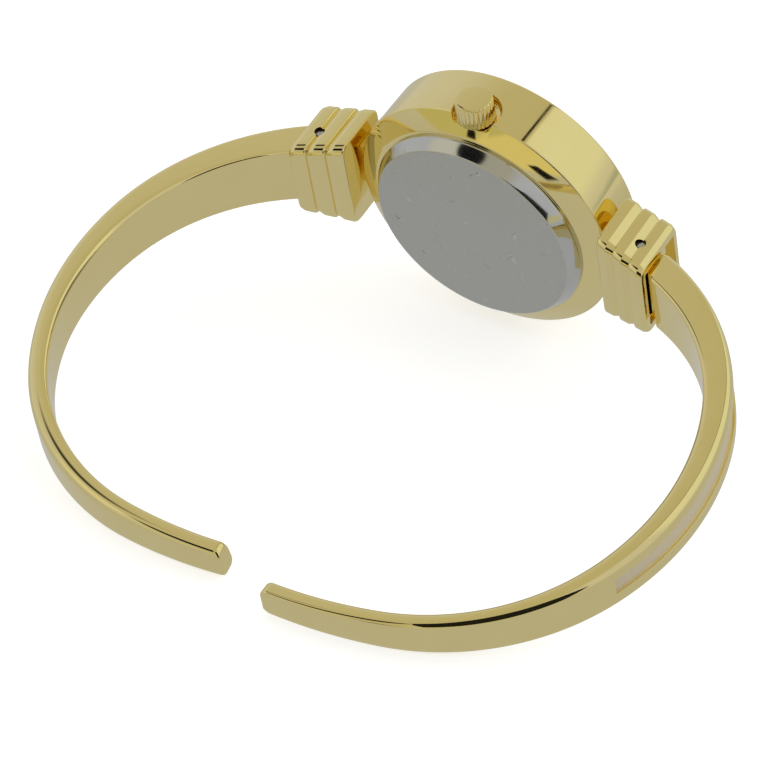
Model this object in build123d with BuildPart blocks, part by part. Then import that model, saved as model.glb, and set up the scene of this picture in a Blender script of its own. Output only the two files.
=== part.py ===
from build123d import *
import math
import os

# Bangle watch in millimetres. The bangle lies in the XY plane: X runs from the 6 to the
# 12 o'clock side, Y is the case axis with the dial towards +Y, and Z points out of the crown.
# The origin is the middle of the wrist opening.

# Overall levels along the case axis, measured from the wrist centre or from the back corner
corner_height = 23.5        # wrist centre to the corner between the band and the back chamfer
overrun = 1.0               # how far a cutting tool runs past the metal it cuts
running = 0.04              # radial clearance of a turning fit
sliding = 0.05              # side clearance of a sliding or dropped-in fit

# Case, from its outer radius inwards
case_radius = 13.0
band_taper = 0.15           # the band is this much smaller at its front edge
front_radius = case_radius - band_taper
band_height = 5.4           # back corner to the front edge of the band
bezel_height = 1.0          # rise of the sloped bezel above the band
bezel_slope_width = 1.65
bezel_mouth = front_radius - bezel_slope_width
bezel_rim_width = 0.45      # flat rim round the crystal
crystal_bore = bezel_mouth - bezel_rim_width
chamfer_depth = 1.03        # back chamfer, from the corner down to the lip
chamfer_width = 2.03
chamfer_mouth = case_radius - chamfer_width
back_seal_land = 0.39       # flat lip outside the back gasket
back_seal_outer = chamfer_mouth - back_seal_land
back_seal_width = 0.28
back_seal_depth = 0.2
cavity_radius = back_seal_outer - back_seal_width
cavity_top = 3.7
window_lip = 0.8            # ledge that the dial rests against
dial_window = cavity_radius - window_lip
crystal_ledge = 5.0

# Snap-on steel back
back_flange_gap = 0.32      # lip left showing round the back
back_flange_radius = chamfer_mouth - back_flange_gap
back_side = 0.3
back_bevel_width = 0.75
back_flat_radius = back_flange_radius - back_bevel_width
back_thickness = 1.42       # lip to the flat outer face
back_wall = 0.75
snap_gap = 0.08
snap_outer = cavity_radius - snap_gap
snap_wall = 0.72
snap_inner = snap_outer - snap_wall
snap_height = 1.1
bead_rise = 0.18
bead_level = 0.5            # bead centre above the lip
bead_half = 0.25
groove_slack = 0.08

# Crown, tube and setting stem
stem_level = 0.9            # stem axis above the back corner
crown_radius = 1.7
flute_depth = 0.13
flute_count = 24
flute_share = 0.5
crown_length = 2.45
crown_edge = 0.3
crown_cup_radius = 1.28
crown_cup_depth = 1.75
scoop_radius = 2.3
scoop_depth = 1.03          # from the case radius to the floor of the scoop
scoop_floor = case_radius - scoop_depth
crown_standoff = 0.1
crown_start = scoop_floor + crown_standoff
tube_root = 1.47            # tube below the scoop floor
tube_rise = 0.8             # tube above the scoop floor
tube_start = scoop_floor - tube_root
tube_end = scoop_floor + tube_rise
tube_outer = 0.95
tube_inner = 0.5
gasket_inner = 1.0
gasket_outer = 1.26
gasket_length = 0.5
gasket_end = tube_end - sliding
gasket_start = gasket_end - gasket_length
stem_radius = 0.42
stem_inner_end = 3.4
stem_neck_radius = 0.2
stem_neck_start = 4.85
stem_neck_length = 0.5
stem_tip_radius = 0.36
clutch_radius = 0.5
clutch_start = 3.6
clutch_length = 0.9
clutch_teeth = 12
clutch_tooth = 0.1

# End blocks
block_gap = 0.25            # between the case and the block
block_start = case_radius + block_gap
block_length = 5.24
block_inner_root = -2.4     # wrist face of the ribs at the case end, from the back corner
block_inner_tip = -3.8
block_outer_root = 3.95
block_outer_tip = 3.1
block_root_half = 5.05
block_tip_half = 4.25
rib_count = 3
rib_width = 1.6
rib_rise = 0.38             # rib crown above the block core
rib_round = 0.6
tenon_half_width = 2.4
tenon_low = 0.9
tenon_high = 3.1
tenon_sink = 1.0            # depth of the tenon in the case band
tenon_reach = case_radius - tenon_sink

# Hinge of an arm in its block
pin_distance = 3.6          # from the block's case end to the pin
pin_x = block_start + pin_distance
pin_level = -0.55
pin_radius = 0.46
pin_half_length = 4.1
pin_sink_radius = 0.58
tongue_half = 1.2
tongue_half_width = 2.85
tongue_clearance = 0.05
tongue_reach = 3.6
closed_angle = -23.0        # direction of a closed arm at the hinge
opening_range_angle = 12.0        # travel of an arm from closed to open
right_arm_open_angle = 7.3        # how far the right arm stands open at rest
mouth_depth = 0.7
mouth_half_width = 3.3
mouth_inner_wall = 0.75
mouth_outer_wall = 0.75

# Arms, drawn for the closed right-hand one
arm_root_distance = 0.8     # start of the wrist-side curve beyond the pin
arm_root_x = pin_x + arm_root_distance
arm_root_level = -2.38
arm_root_heading_angle = -25.2
shoulder_bend_radius = 19.8
side_bend_radius = 24.2
lower_bend_radius = 20.8
tip_bend_radius = 43.2
shoulder_sweep_angle = 51.7
side_sweep_angle = 42.8
lower_sweep_angle = 54.0
tip_sweep_angle = 13.8
arm_bends = ((shoulder_bend_radius, shoulder_sweep_angle), (side_bend_radius, side_sweep_angle),
             (lower_bend_radius, lower_sweep_angle), (tip_bend_radius, tip_sweep_angle))
shoulder_gap = 0.36         # between the block and the full section of the arm
arm_shoulder_x = block_start + block_length + shoulder_gap
arm_root_half_width = 3.29
arm_tip_half_width = 1.27
arm_root_thickness = 3.38
arm_tip_thickness = 1.5
arm_thinning_power = 2.5
arm_stations = 14
arm_bevel = 0.34
arm_outer_bevel = 0.26
arm_tip_round = 0.6
arm_tip_share = 0.008       # share of the arm length taken by the rounded tip
channel_from = 0.1          # share of the arm length where the outer channel starts
channel_to = 0.51
channel_depth = 0.32
channel_rim = 0.55
channel_stations = 7

# Dial and hands
dial_edge_gap = 0.1
dial_radius = cavity_radius - dial_edge_gap
dial_thickness = 0.4
dial_hole = 0.9
dial_foot_radius = 0.35
dial_foot_length = 0.9
dial_foot_at = 7.0
marker_count = 12
marker_inset = 1.5
marker_radius = dial_window - marker_inset
marker_length = 1.5
marker_width = 0.35
marker_height = 0.2
crystal_seal_width = 0.25
crystal_radius = crystal_bore - crystal_seal_width
crystal_thickness = 1.2
crystal_edge = 0.2
crystal_seal_top = 0.75     # height of the crystal gasket above its ledge
hour_hand_level = 4.0
hour_hand_length = 4.9
hour_hand_width = 0.75
minute_hand_level = 4.4
minute_hand_length = 7.3
minute_hand_width = 0.55
hand_thickness = 0.15
hand_tail = 1.3
hand_tip_share = 0.25
hand_rim = 0.3
hour_hand_angle = 125.0     # ten past ten, counted from the crown towards 12
minute_hand_angle = 30.0

# Movement
ring_width = 1.4            # plastic ring between the main plate and the case
plate_radius = cavity_radius - ring_width
plate_flat_depth = 1.25     # flats of the plate at 3 and at 9
plate_half_width = plate_radius - plate_flat_depth
plate_low = 0.3
plate_high = 3.3
plate_wall = 0.5
web_low = 2.0
web_high = 2.5
motion_pocket_radius = 5.4
ring_gap = 0.1
ring_stem_clearance = 0.25
bridge_thickness = 0.4
bridge_top_edge = 1.0       # edge of the train bridge towards 12
bridge_left_edge = -3.9     # edge of the train bridge towards 9
bridge_lever_top = 2.7      # edge of the tab that covers the setting lever
bridge_lever_left = 3.6
pivot_radius = 0.1
arbor_radius = 0.16
wheel_thickness = 0.15
tooth_root_share = 0.58     # tooth thickness at the root as a share of the pitch
tooth_tip_share = 0.2
tooth_depth_share = 1.05    # tooth height below the pitch circle in modules
tooth_rise_share = 0.75     # tooth height above the pitch circle in modules

# Going train: places in the dial plane (towards the crown, towards 12)
third_at = (-0.9, -2.86)
intermediate_at = (1.8, -3.2)
rotor_at = (3.667, -5.067)
centre_module = 0.12
third_module = 0.1237
intermediate_module = 0.11
centre_teeth = 40
third_pinion_teeth = 10
third_teeth = 36
pinion_teeth = 8
intermediate_teeth = 40
centre_wheel_level = 1.72
third_wheel_level = 1.25
intermediate_wheel_level = 0.8
magnet_radius = 0.7
magnet_low = 1.3
magnet_high = 1.85

# Motion work under the dial
cannon_teeth = 12
minute_wheel_teeth = 36
minute_pinion_teeth = 10
hour_wheel_teeth = 40
motion_distance = 2.4
motion_direction_angle = 52.0
cannon_low = 2.56
cannon_leaf_top = 2.78
minute_pinion_top = 3.08
hour_wheel_level = 2.88
cannon_outer = 0.4
cannon_bore = 0.22
hour_pipe_outer = 0.7
stud_radius = 0.2

# Electric parts
battery_at = (-4.0, 4.0)
battery_radius = 2.9
battery_thickness = 2.15
battery_rim = 0.25
clip_thickness = 0.15
coil_at = (-1.3, -6.3)
coil_core_length = 7.2
coil_core_width = 0.6
coil_core_thickness = 0.4
coil_length = 5.0
coil_radius = 0.56
stator_low = 1.6
stator_high = 1.98
stator_bore = 0.92
stator_pad = 1.15
stator_leg = 0.6
stator_long_leg_at = -5.05
board_left = -6.6
board_right = -3.8
board_low = -4.4
board_high = -0.4
board_level = 0.9
board_thickness = 0.25
chip_size = 1.5
chip_thickness = 0.5
can_radius = 0.35
can_length = 2.6

# Setting lever and screws
lever_at = (5.5, 1.8)
lever_thickness = 0.22
lever_level = 1.4
lever_pin_radius = 0.18
lever_post_radius = 0.3
lever_half_angle = 12.84
screw_head_radius = 0.5
screw_head_height = 0.22
screw_shank_radius = 0.25
screw_slot = 0.16
screw_post_radius = 0.55
bridge_screws = ((-3.2, 0.2), (6.2, -1.7), (2.6, -7.5))
clip_screw = (0.5, 6.6)

os.makedirs("parts", exist_ok=True)


def level(height):
    """Dial-side plane at a height above the back corner: x to the crown, y to 12."""
    return Plane(origin=(0, corner_height + height, 0), x_dir=(0, 0, 1), z_dir=(0, 1, 0))


def stem_plane(distance):
    """Plane across the stem axis, looking out of the crown."""
    return Plane(origin=(0, corner_height + stem_level, distance), x_dir=(1, 0, 0), z_dir=(0, 0, 1))


def profile_plane():
    """Half-section plane of the case: local x is the radius, local y the height."""
    return Plane(origin=(0, corner_height, 0), x_dir=(1, 0, 0), z_dir=(0, 0, 1))


def case_axis():
    return Axis((0, corner_height, 0), (0, 1, 0))


def gear_points(teeth, module, share_root=tooth_root_share, share_tip=tooth_tip_share):
    """Corner points of a wheel outline with straight-sided teeth."""
    pitch_radius = teeth * module / 2
    root = pitch_radius - tooth_depth_share * module
    tip = pitch_radius + tooth_rise_share * module
    step = 360 / teeth
    points = []
    for tooth in range(teeth):
        middle = tooth * step
        for radius, offset in ((root, -share_root), (tip, -share_tip), (tip, share_tip), (root, share_root)):
            angle = math.radians(middle + offset * step / 2)
            points.append((radius * math.cos(angle), radius * math.sin(angle)))
    return points


def mesh_turn(teeth, direction, partner_teeth, partner_turn):
    """Turn in degrees that sets a gap of this wheel on the facing tooth of its partner."""
    pitch = 360 / teeth
    partner_pitch = 360 / partner_teeth
    partner_phase = (direction - partner_turn) / partner_pitch
    own_phase = -partner_phase + 1 / 2
    return direction + 180 - own_phase * pitch


def bearing(start, end):
    return math.degrees(math.atan2(end[1] - start[1], end[0] - start[0]))


def oval(radius, half_width):
    """Movement outline: a disc with two flats, at 3 and at 9."""
    Circle(radius)
    Rectangle(2 * half_width, 2 * radius, mode=Mode.INTERSECT)


# Case middle with chamfered back, sloped bezel, crown scoop and block mortises
bezel_top = band_height + bezel_height
with BuildPart() as case:
    with BuildSketch(profile_plane()):
        with BuildLine():
            Polyline(
                (cavity_radius, -chamfer_depth),
                (chamfer_mouth, -chamfer_depth),
                (case_radius, 0),
                (front_radius, band_height),
                (bezel_mouth, bezel_top),
                (crystal_bore, bezel_top),
                (crystal_bore, crystal_ledge),
                (dial_window, crystal_ledge),
                (dial_window, cavity_top),
                (cavity_radius, cavity_top),
                close=True,
            )
        make_face()
    revolve(axis=case_axis())
    # groove for the snap bead of the back
    with BuildSketch(profile_plane()):
        with BuildLine():
            bead_height = bead_level - chamfer_depth
            Polyline(
                (cavity_radius - sliding, bead_height - bead_half - groove_slack),
                (cavity_radius + bead_rise + groove_slack, bead_height),
                (cavity_radius - sliding, bead_height + bead_half + groove_slack),
                close=True,
            )
        make_face()
    revolve(axis=case_axis(), mode=Mode.SUBTRACT)
    # seat for the back gasket
    with BuildSketch(level(-chamfer_depth)):
        Circle(back_seal_outer)
    extrude(amount=back_seal_depth, mode=Mode.SUBTRACT)
    # round scoop that lets a fingertip reach the crown
    with BuildSketch(stem_plane(scoop_floor)):
        Circle(scoop_radius)
    extrude(amount=case_radius, mode=Mode.SUBTRACT)
    # bore for the crown tube
    with BuildSketch(stem_plane(dial_window)):
        Circle(tube_outer)
    extrude(amount=case_radius, mode=Mode.SUBTRACT)
    # blind mortises for the block tenons
    for side in (-1, 1):
        mortise_half = tenon_half_width + sliding
        mortise_height = tenon_high - tenon_low + 2 * sliding
        mortise_middle = corner_height + (tenon_low + tenon_high) / 2
        with Locations((side * tenon_reach, mortise_middle, 0)):
            Box(case_radius - tenon_reach + overrun, mortise_height, 2 * mortise_half,
                align=(Align.MIN if side > 0 else Align.MAX, Align.CENTER, Align.CENTER),
                mode=Mode.SUBTRACT)
case.part.label = "case"

# Snap-on case back with its bevelled rim and snap ring
with BuildPart() as case_back:
    lip = -chamfer_depth
    with BuildSketch(profile_plane()):
        with BuildLine():
            Polyline(
                (0, lip - back_thickness),
                (back_flat_radius, lip - back_thickness),
                (back_flange_radius, lip - back_side),
                (back_flange_radius, lip),
                (snap_outer, lip),
                (snap_outer, bead_height - bead_half),
                (snap_outer + bead_rise, bead_height),
                (snap_outer, bead_height + bead_half),
                (snap_outer, lip + snap_height),
                (snap_inner, lip + snap_height),
                (snap_inner, lip - back_thickness + back_wall),
                (0, lip - back_thickness + back_wall),
                close=True,
            )
        make_face()
    revolve(axis=case_axis())
case_back.part.label = "case_back"

with BuildPart() as case_back_gasket:
    with BuildSketch(level(-chamfer_depth)):
        Circle(back_seal_outer)
        Circle(cavity_radius, mode=Mode.SUBTRACT)
    extrude(amount=back_seal_depth - sliding / 2)
case_back_gasket.part.label = "case_back_gasket"

# Crystal with a bevelled edge, and the ring that seals it in the bezel
with BuildPart() as crystal:
    with BuildSketch(level(crystal_ledge)):
        Circle(crystal_radius)
    extrude(amount=crystal_thickness)
    chamfer(crystal.faces().sort_by(Axis.Y)[-1].edges(), crystal_edge)
crystal.part.label = "crystal"

with BuildPart() as crystal_gasket:
    with BuildSketch(level(crystal_ledge)):
        Circle(crystal_bore)
        Circle(crystal_radius, mode=Mode.SUBTRACT)
    extrude(amount=crystal_seal_top)
crystal_gasket.part.label = "crystal_gasket"

# Dial and its applied bar markers
with BuildPart() as dial:
    with BuildSketch(level(cavity_top - dial_thickness)):
        Circle(dial_radius)
        Circle(dial_hole, mode=Mode.SUBTRACT)
    extrude(amount=dial_thickness)
    # two feet that locate the dial on the main plate
    with BuildSketch(level(cavity_top - dial_thickness)):
        with Locations((0, dial_foot_at), (0, -dial_foot_at)):
            Circle(dial_foot_radius)
    extrude(amount=-dial_foot_length)
dial.part.label = "dial"

with BuildPart() as hour_markers:
    with BuildSketch(level(cavity_top)):
        with PolarLocations(marker_radius, marker_count):
            Rectangle(marker_length, marker_width)
    extrude(amount=marker_height)
hour_markers.part.label = "hour_markers"

# Crown with fluted side, hollow for the tube and the gasket
with BuildPart() as crown:
    with BuildSketch(stem_plane(crown_start)):
        Circle(crown_radius)
    extrude(amount=crown_length)
    chamfer(crown.faces().sort_by(Axis.Z)[-1].edges(), crown_edge)
    with BuildSketch(stem_plane(crown_start)):
        with PolarLocations(crown_radius, flute_count):
            Rectangle(2 * flute_depth, 2 * math.pi * crown_radius / flute_count * flute_share)
    extrude(amount=crown_length - crown_edge, mode=Mode.SUBTRACT)
    with BuildSketch(stem_plane(crown_start)):
        Circle(crown_cup_radius)
    extrude(amount=crown_cup_depth, mode=Mode.SUBTRACT)
crown.part.label = "crown"

with BuildPart() as crown_tube:
    with BuildSketch(stem_plane(tube_start)):
        Circle(tube_outer)
        Circle(tube_inner, mode=Mode.SUBTRACT)
    extrude(amount=tube_end - tube_start)
crown_tube.part.label = "crown_tube"

with BuildPart() as crown_gasket:
    with BuildSketch(stem_plane(gasket_start)):
        Circle(gasket_outer)
        Circle(gasket_inner, mode=Mode.SUBTRACT)
    extrude(amount=gasket_end - gasket_start)
crown_gasket.part.label = "crown_gasket"

# Setting stem from the crown into the movement, with the neck the lever holds
with BuildPart() as setting_stem:
    with BuildSketch(stem_plane(stem_inner_end)):
        Circle(stem_tip_radius)
    extrude(amount=stem_neck_start - stem_inner_end)
    with BuildSketch(stem_plane(stem_neck_start)):
        Circle(stem_neck_radius)
    extrude(amount=stem_neck_length)
    with BuildSketch(stem_plane(stem_neck_start + stem_neck_length)):
        Circle(stem_radius)
    extrude(amount=crown_start + crown_cup_depth - stem_neck_start - stem_neck_length)
setting_stem.part.label = "setting_stem"

with BuildPart() as clutch_wheel:
    with BuildSketch(stem_plane(clutch_start)):
        Circle(clutch_radius - clutch_tooth)
        with PolarLocations(clutch_radius - clutch_tooth, clutch_teeth):
            Rectangle(2 * clutch_tooth, clutch_tooth)
        Circle(stem_tip_radius, mode=Mode.SUBTRACT)
    extrude(amount=clutch_length)
clutch_wheel.part.label = "clutch_wheel"


# End block: a tapered core wrapped by three rounded ribs, hollowed for the arm tongue
def along_block(x, root, tip):
    share = (x - block_start) / block_length
    return root + (tip - root) * share


def block_outline(x_from, x_to, inset):
    """Slanted outline of a block slice in the bangle plane."""
    points = []
    for x, root, tip, shift in (
        (x_from, block_inner_root, block_inner_tip, inset),
        (x_to, block_inner_root, block_inner_tip, inset),
        (x_to, block_outer_root, block_outer_tip, -inset),
        (x_from, block_outer_root, block_outer_tip, -inset),
    ):
        points.append((x, corner_height + along_block(x, root, tip) + shift))
    return points


def pin_place():
    return (pin_x, corner_height + pin_level)


def pocket_outline():
    """Wedge the tongue sweeps from closed to open, with clearance on both faces."""
    reach = tongue_half + tongue_clearance
    points = [pin_place()]
    for angle, face in ((closed_angle, -1), (closed_angle + opening_range_angle, 1)):
        turn = math.radians(angle)
        side_x, side_y = -face * math.sin(turn) * reach, face * math.cos(turn) * reach
        near = (pin_x + side_x, corner_height + pin_level + side_y)
        far = (near[0] + tongue_reach * math.cos(turn), near[1] + tongue_reach * math.sin(turn))
        points += [near, far] if face < 0 else [far, near]
    return points


block_end = block_start + block_length
rib_pitch = (block_length - rib_width) / (rib_count - 1)
with BuildPart() as block_form:
    with BuildSketch(Plane.XY):
        Polygon(*block_outline(block_start + rib_rise / 2, block_end - rib_rise / 2, rib_rise), align=None)
    extrude(amount=block_root_half, both=True)
    # taper of the core in width
    with BuildSketch(Plane.XZ.offset(-corner_height)):
        Polygon((block_start, block_root_half - rib_rise), (block_end, block_tip_half - rib_rise),
                (block_end, rib_rise - block_tip_half), (block_start, rib_rise - block_root_half), align=None)
    extrude(amount=block_root_half + block_outer_root, both=True, mode=Mode.INTERSECT)
    for rib in range(rib_count):
        rib_from = block_start + rib * rib_pitch
        rib_half = along_block(rib_from + rib_width / 2, block_root_half, block_tip_half)
        with BuildPart(mode=Mode.PRIVATE) as rib_form:
            with BuildSketch(Plane.XY):
                Polygon(*block_outline(rib_from, rib_from + rib_width, 0), align=None)
            extrude(amount=rib_half, both=True)
            fillet(rib_form.edges(), rib_round)
        add(rib_form.part)
    # shallow mouth at the arm end and the wedge the tongue swings in
    with BuildSketch(Plane.XY):
        mouth = block_outline(block_end - mouth_depth, block_end + overrun, 0)
        Polygon((mouth[0][0], mouth[0][1] + mouth_inner_wall), (mouth[1][0], mouth[0][1] + mouth_inner_wall),
                (mouth[1][0], mouth[3][1] - mouth_outer_wall), (mouth[0][0], mouth[3][1] - mouth_outer_wall),
                align=None)
    extrude(amount=mouth_half_width, both=True, mode=Mode.SUBTRACT)
    with BuildSketch(Plane.XY):
        Polygon(*pocket_outline(), align=None)
        with Locations(pin_place()):
            Circle(tongue_half + tongue_clearance)
    extrude(amount=tongue_half_width + sliding, both=True, mode=Mode.SUBTRACT)
    # pin hole, wider at both faces so the pin ends sit below the ribs
    with Locations(pin_place()):
        Cylinder(pin_radius, 2 * block_root_half + overrun, mode=Mode.SUBTRACT)
    for side in (-1, 1):
        with BuildSketch(Plane.XY.offset(side * pin_half_length)):
            with Locations(pin_place()):
                Circle(pin_sink_radius)
        extrude(amount=side * overrun, mode=Mode.SUBTRACT)
    # tenon that fixes the block in the case band
    with Locations((tenon_reach + sliding, corner_height + (tenon_low + tenon_high) / 2, 0)):
        Box(block_start + rib_width / 2 - tenon_reach - sliding, tenon_high - tenon_low,
            2 * tenon_half_width, align=(Align.MIN, Align.CENTER, Align.CENTER))

with BuildPart() as right_block:
    add(block_form.part)
right_block.part.label = "right_block"

with BuildPart() as left_block:
    mirror(block_form.part, about=Plane.YZ)
left_block.part.label = "left_block"

for pin_side, pin_name in ((1, "right_hinge_pin"), (-1, "left_hinge_pin")):
    with BuildPart() as hinge_pin:
        with Locations((pin_side * pin_x, corner_height + pin_level, 0)):
            Cylinder(pin_radius, 2 * pin_half_length)
    hinge_pin.part.label = pin_name
    export_step(hinge_pin.part, f"parts/{pin_name}.step")


# Arm: rectangular section that thins and narrows along four tangent arcs
def arm_station(share):
    """Point and heading on the wrist-side curve at a share of the arm length."""
    left = share * sum(radius * math.radians(sweep) for radius, sweep in arm_bends)
    x, y, heading = arm_root_x, corner_height + arm_root_level, math.radians(arm_root_heading_angle)
    for radius, sweep in arm_bends:
        step = min(left, radius * math.radians(sweep))
        end = heading - step / radius
        x += radius * (math.sin(heading) - math.sin(end))
        y += radius * (math.cos(end) - math.cos(heading))
        heading = end
        left -= step
        if left <= 0:
            break
    return x, y, heading


def arm_plane(share):
    x, y, heading = arm_station(share)
    return Plane(origin=(x, y, 0), x_dir=(-math.sin(heading), math.cos(heading), 0),
                 z_dir=(math.cos(heading), math.sin(heading), 0))


def arm_half_width(share):
    return arm_root_half_width + (arm_tip_half_width - arm_root_half_width) * share


def arm_thickness(share):
    return arm_tip_thickness + (arm_root_thickness - arm_tip_thickness) * (1 - share) ** arm_thinning_power


with BuildPart() as arm_form:
    for station in range(arm_stations + 1):
        share = station / arm_stations
        thick, half = arm_thickness(share), arm_half_width(share)
        with BuildSketch(arm_plane(share)):
            with BuildLine():
                Polyline((0, arm_bevel - half), (0, half - arm_bevel), (arm_bevel, half),
                         (thick - arm_outer_bevel, half), (thick, half - arm_outer_bevel),
                         (thick, arm_outer_bevel - half), (thick - arm_outer_bevel, -half),
                         (arm_bevel, -half), close=True)
            make_face()
    loft()
    # long shallow channel in the outer face
    for station in range(channel_stations + 1):
        share = channel_from + (channel_to - channel_from) * station / channel_stations
        thick, half = arm_thickness(share), arm_half_width(share)
        with BuildSketch(arm_plane(share)):
            with Locations((thick - channel_depth, 0)):
                Rectangle(channel_depth + overrun, 2 * (half - channel_rim), align=(Align.MIN, Align.CENTER))
    loft(mode=Mode.SUBTRACT)
    # shoulder beside the block
    with Locations((arm_shoulder_x, corner_height, 0)):
        Box(block_length, 2 * block_length, 4 * arm_root_half_width,
            align=(Align.MAX, Align.CENTER, Align.CENTER), mode=Mode.SUBTRACT)
    # tongue that swings in the block
    with BuildSketch(Plane.XY):
        with Locations(Location((pin_x, corner_height + pin_level, 0), (0, 0, closed_angle))):
            Rectangle(tongue_reach, 2 * tongue_half, align=(Align.MIN, Align.CENTER))
        with Locations(pin_place()):
            Circle(tongue_half)
    extrude(amount=tongue_half_width, both=True)
    with Locations(pin_place()):
        Cylinder(pin_radius + running, 2 * block_root_half, mode=Mode.SUBTRACT)

    # rounded corners of the tip, seen from the wrist side
    tip_x, tip_y, tip_heading = arm_station(1)
    tip_outward = (-math.sin(tip_heading), math.cos(tip_heading), 0)
    with BuildSketch(Plane((tip_x, tip_y, 0), x_dir=(math.cos(tip_heading), math.sin(tip_heading), 0),
                           z_dir=tip_outward)):
        Rectangle(2 * arm_tip_round, 4 * arm_tip_half_width)
        with Locations((-2 * arm_tip_round, 0)):
            RectangleRounded(4 * arm_tip_round, 2 * arm_half_width(1 - arm_tip_share), arm_tip_round,
                             mode=Mode.SUBTRACT)
    extrude(amount=2 * arm_tip_thickness, both=True, mode=Mode.SUBTRACT)

with BuildPart() as right_arm:
    add(arm_form.part.rotate(Axis((pin_x, corner_height + pin_level, 0), (0, 0, 1)), right_arm_open_angle))
right_arm.part.label = "right_arm"

with BuildPart() as left_arm:
    mirror(arm_form.part, about=Plane.YZ)
left_arm.part.label = "left_arm"

# Movement ring that centres the movement in the case, notched for the stem
with BuildPart() as movement_ring:
    with BuildSketch(level(plate_low)):
        Circle(cavity_radius - ring_gap)
        with BuildSketch(mode=Mode.SUBTRACT):
            oval(plate_radius + sliding, plate_half_width + sliding)
    extrude(amount=plate_high - plate_low)
    with BuildSketch(stem_plane(plate_half_width - overrun)):
        Circle(stem_radius + ring_stem_clearance)
    extrude(amount=cavity_radius, mode=Mode.SUBTRACT)
movement_ring.part.label = "movement_ring"

# Main plate: a web between the motion work pocket and the train pocket, with screw posts
train_places = (third_at, intermediate_at, rotor_at)
with BuildPart() as main_plate:
    with BuildSketch(level(plate_low)):
        oval(plate_radius, plate_half_width)
    extrude(amount=plate_high - plate_low)
    with BuildSketch(level(web_high)):
        Circle(motion_pocket_radius)
    extrude(amount=plate_high - web_high, mode=Mode.SUBTRACT)
    with BuildSketch(level(plate_low)):
        oval(plate_radius - plate_wall, plate_half_width - plate_wall)
        with Locations(battery_at):
            Circle(battery_radius + ring_gap)
    extrude(amount=web_low - plate_low, mode=Mode.SUBTRACT)
    # posts for the bridge screws, the clip screw, the board and the lever
    with BuildSketch(level(plate_low)):
        with Locations(*bridge_screws):
            Circle(screw_post_radius)
    extrude(amount=web_low - plate_low)
    with BuildSketch(level(web_low - battery_thickness)):
        with Locations(clip_screw):
            Circle(screw_post_radius)
    extrude(amount=battery_thickness)
    with BuildSketch(level(board_level + board_thickness)):
        with Locations(((board_left + board_right) / 2, (board_low + board_high) / 2)):
            Circle(screw_post_radius)
    extrude(amount=web_low - board_level - board_thickness)
    with BuildSketch(level(lever_level + lever_thickness + running)):
        with Locations(lever_at):
            Circle(lever_post_radius)
    extrude(amount=web_low - lever_level - lever_thickness - running)
    with BuildSketch(level(lever_level)):
        with Locations(lever_at):
            Circle(lever_pin_radius)
    extrude(amount=web_low - lever_level)
    # stud of the minute wheel
    motion_at = (motion_distance * math.cos(math.radians(motion_direction_angle)),
                 motion_distance * math.sin(math.radians(motion_direction_angle)))
    with BuildSketch(level(web_high)):
        with Locations(motion_at):
            Circle(stud_radius)
    extrude(amount=minute_pinion_top - web_high)
    # pivot holes, centre hole, dial feet and screw holes
    with BuildSketch(level(web_low - overrun)):
        with Locations(*train_places):
            Circle(pivot_radius + running)
        Circle(cannon_bore + running)
    extrude(amount=web_high - web_low + 2 * overrun, mode=Mode.SUBTRACT)
    with BuildSketch(level(plate_high)):
        with Locations((0, dial_foot_at), (0, -dial_foot_at)):
            Circle(dial_foot_radius + sliding)
    extrude(amount=-dial_foot_length - sliding, mode=Mode.SUBTRACT)
    with BuildSketch(level(web_low - battery_thickness - overrun)):
        with Locations(*bridge_screws, clip_screw):
            Circle(screw_shank_radius)
    extrude(amount=battery_thickness + overrun - screw_post_radius, mode=Mode.SUBTRACT)
    with BuildSketch(stem_plane(plate_half_width - overrun)):
        Circle(stem_radius + running)
    extrude(amount=2 * overrun, mode=Mode.SUBTRACT)
main_plate.part.label = "main_plate"

# Train bridge over the wheels and the setting lever
with BuildPart() as train_bridge:
    with BuildSketch(level(plate_low - bridge_thickness)):
        oval(plate_radius - ring_gap, plate_half_width - ring_gap)
        with BuildSketch(mode=Mode.INTERSECT):
            with Locations((bridge_left_edge, bridge_top_edge)):
                Rectangle(2 * plate_radius, 2 * plate_radius, align=(Align.MIN, Align.MAX))
            with Locations((bridge_lever_left, bridge_lever_top)):
                Rectangle(plate_radius, plate_radius, align=(Align.MIN, Align.MAX))
        with Locations(*train_places, (0, 0)):
            Circle(pivot_radius + running, mode=Mode.SUBTRACT)
        with Locations(*bridge_screws):
            Circle(screw_shank_radius, mode=Mode.SUBTRACT)
    extrude(amount=bridge_thickness)
    # post that keeps the setting lever on its pin
    with BuildSketch(level(plate_low)):
        with Locations(lever_at):
            Circle(lever_post_radius)
    extrude(amount=lever_level - running - plate_low)
train_bridge.part.label = "train_bridge"

# Slotted screws of the bridge and of the battery clip
with BuildPart() as movement_screws:
    for seat, places in ((plate_low - bridge_thickness, bridge_screws),
                         (web_low - battery_thickness - clip_thickness, (clip_screw,))):
        with BuildSketch(level(seat)):
            with Locations(*places):
                Circle(screw_head_radius)
        extrude(amount=-screw_head_height)
        with BuildSketch(level(seat)):
            with Locations(*places):
                Circle(screw_shank_radius)
        extrude(amount=web_low - seat - overrun)
        with BuildSketch(level(seat - screw_head_height)):
            with Locations(*places):
                Rectangle(2 * screw_head_radius, screw_slot)
        extrude(amount=screw_head_height / 2, mode=Mode.SUBTRACT)
movement_screws.part.label = "movement_screws"

# Button cell, its clip, and the electronic block
with BuildPart() as battery:
    with BuildSketch(level(web_low - battery_thickness)):
        with Locations(battery_at):
            Circle(battery_radius)
    extrude(amount=battery_thickness - battery_rim)
    with BuildSketch(level(web_low - battery_rim)):
        with Locations(battery_at):
            Circle(battery_radius - 2 * battery_rim)
    extrude(amount=battery_rim)
battery.part.label = "battery"

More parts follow.
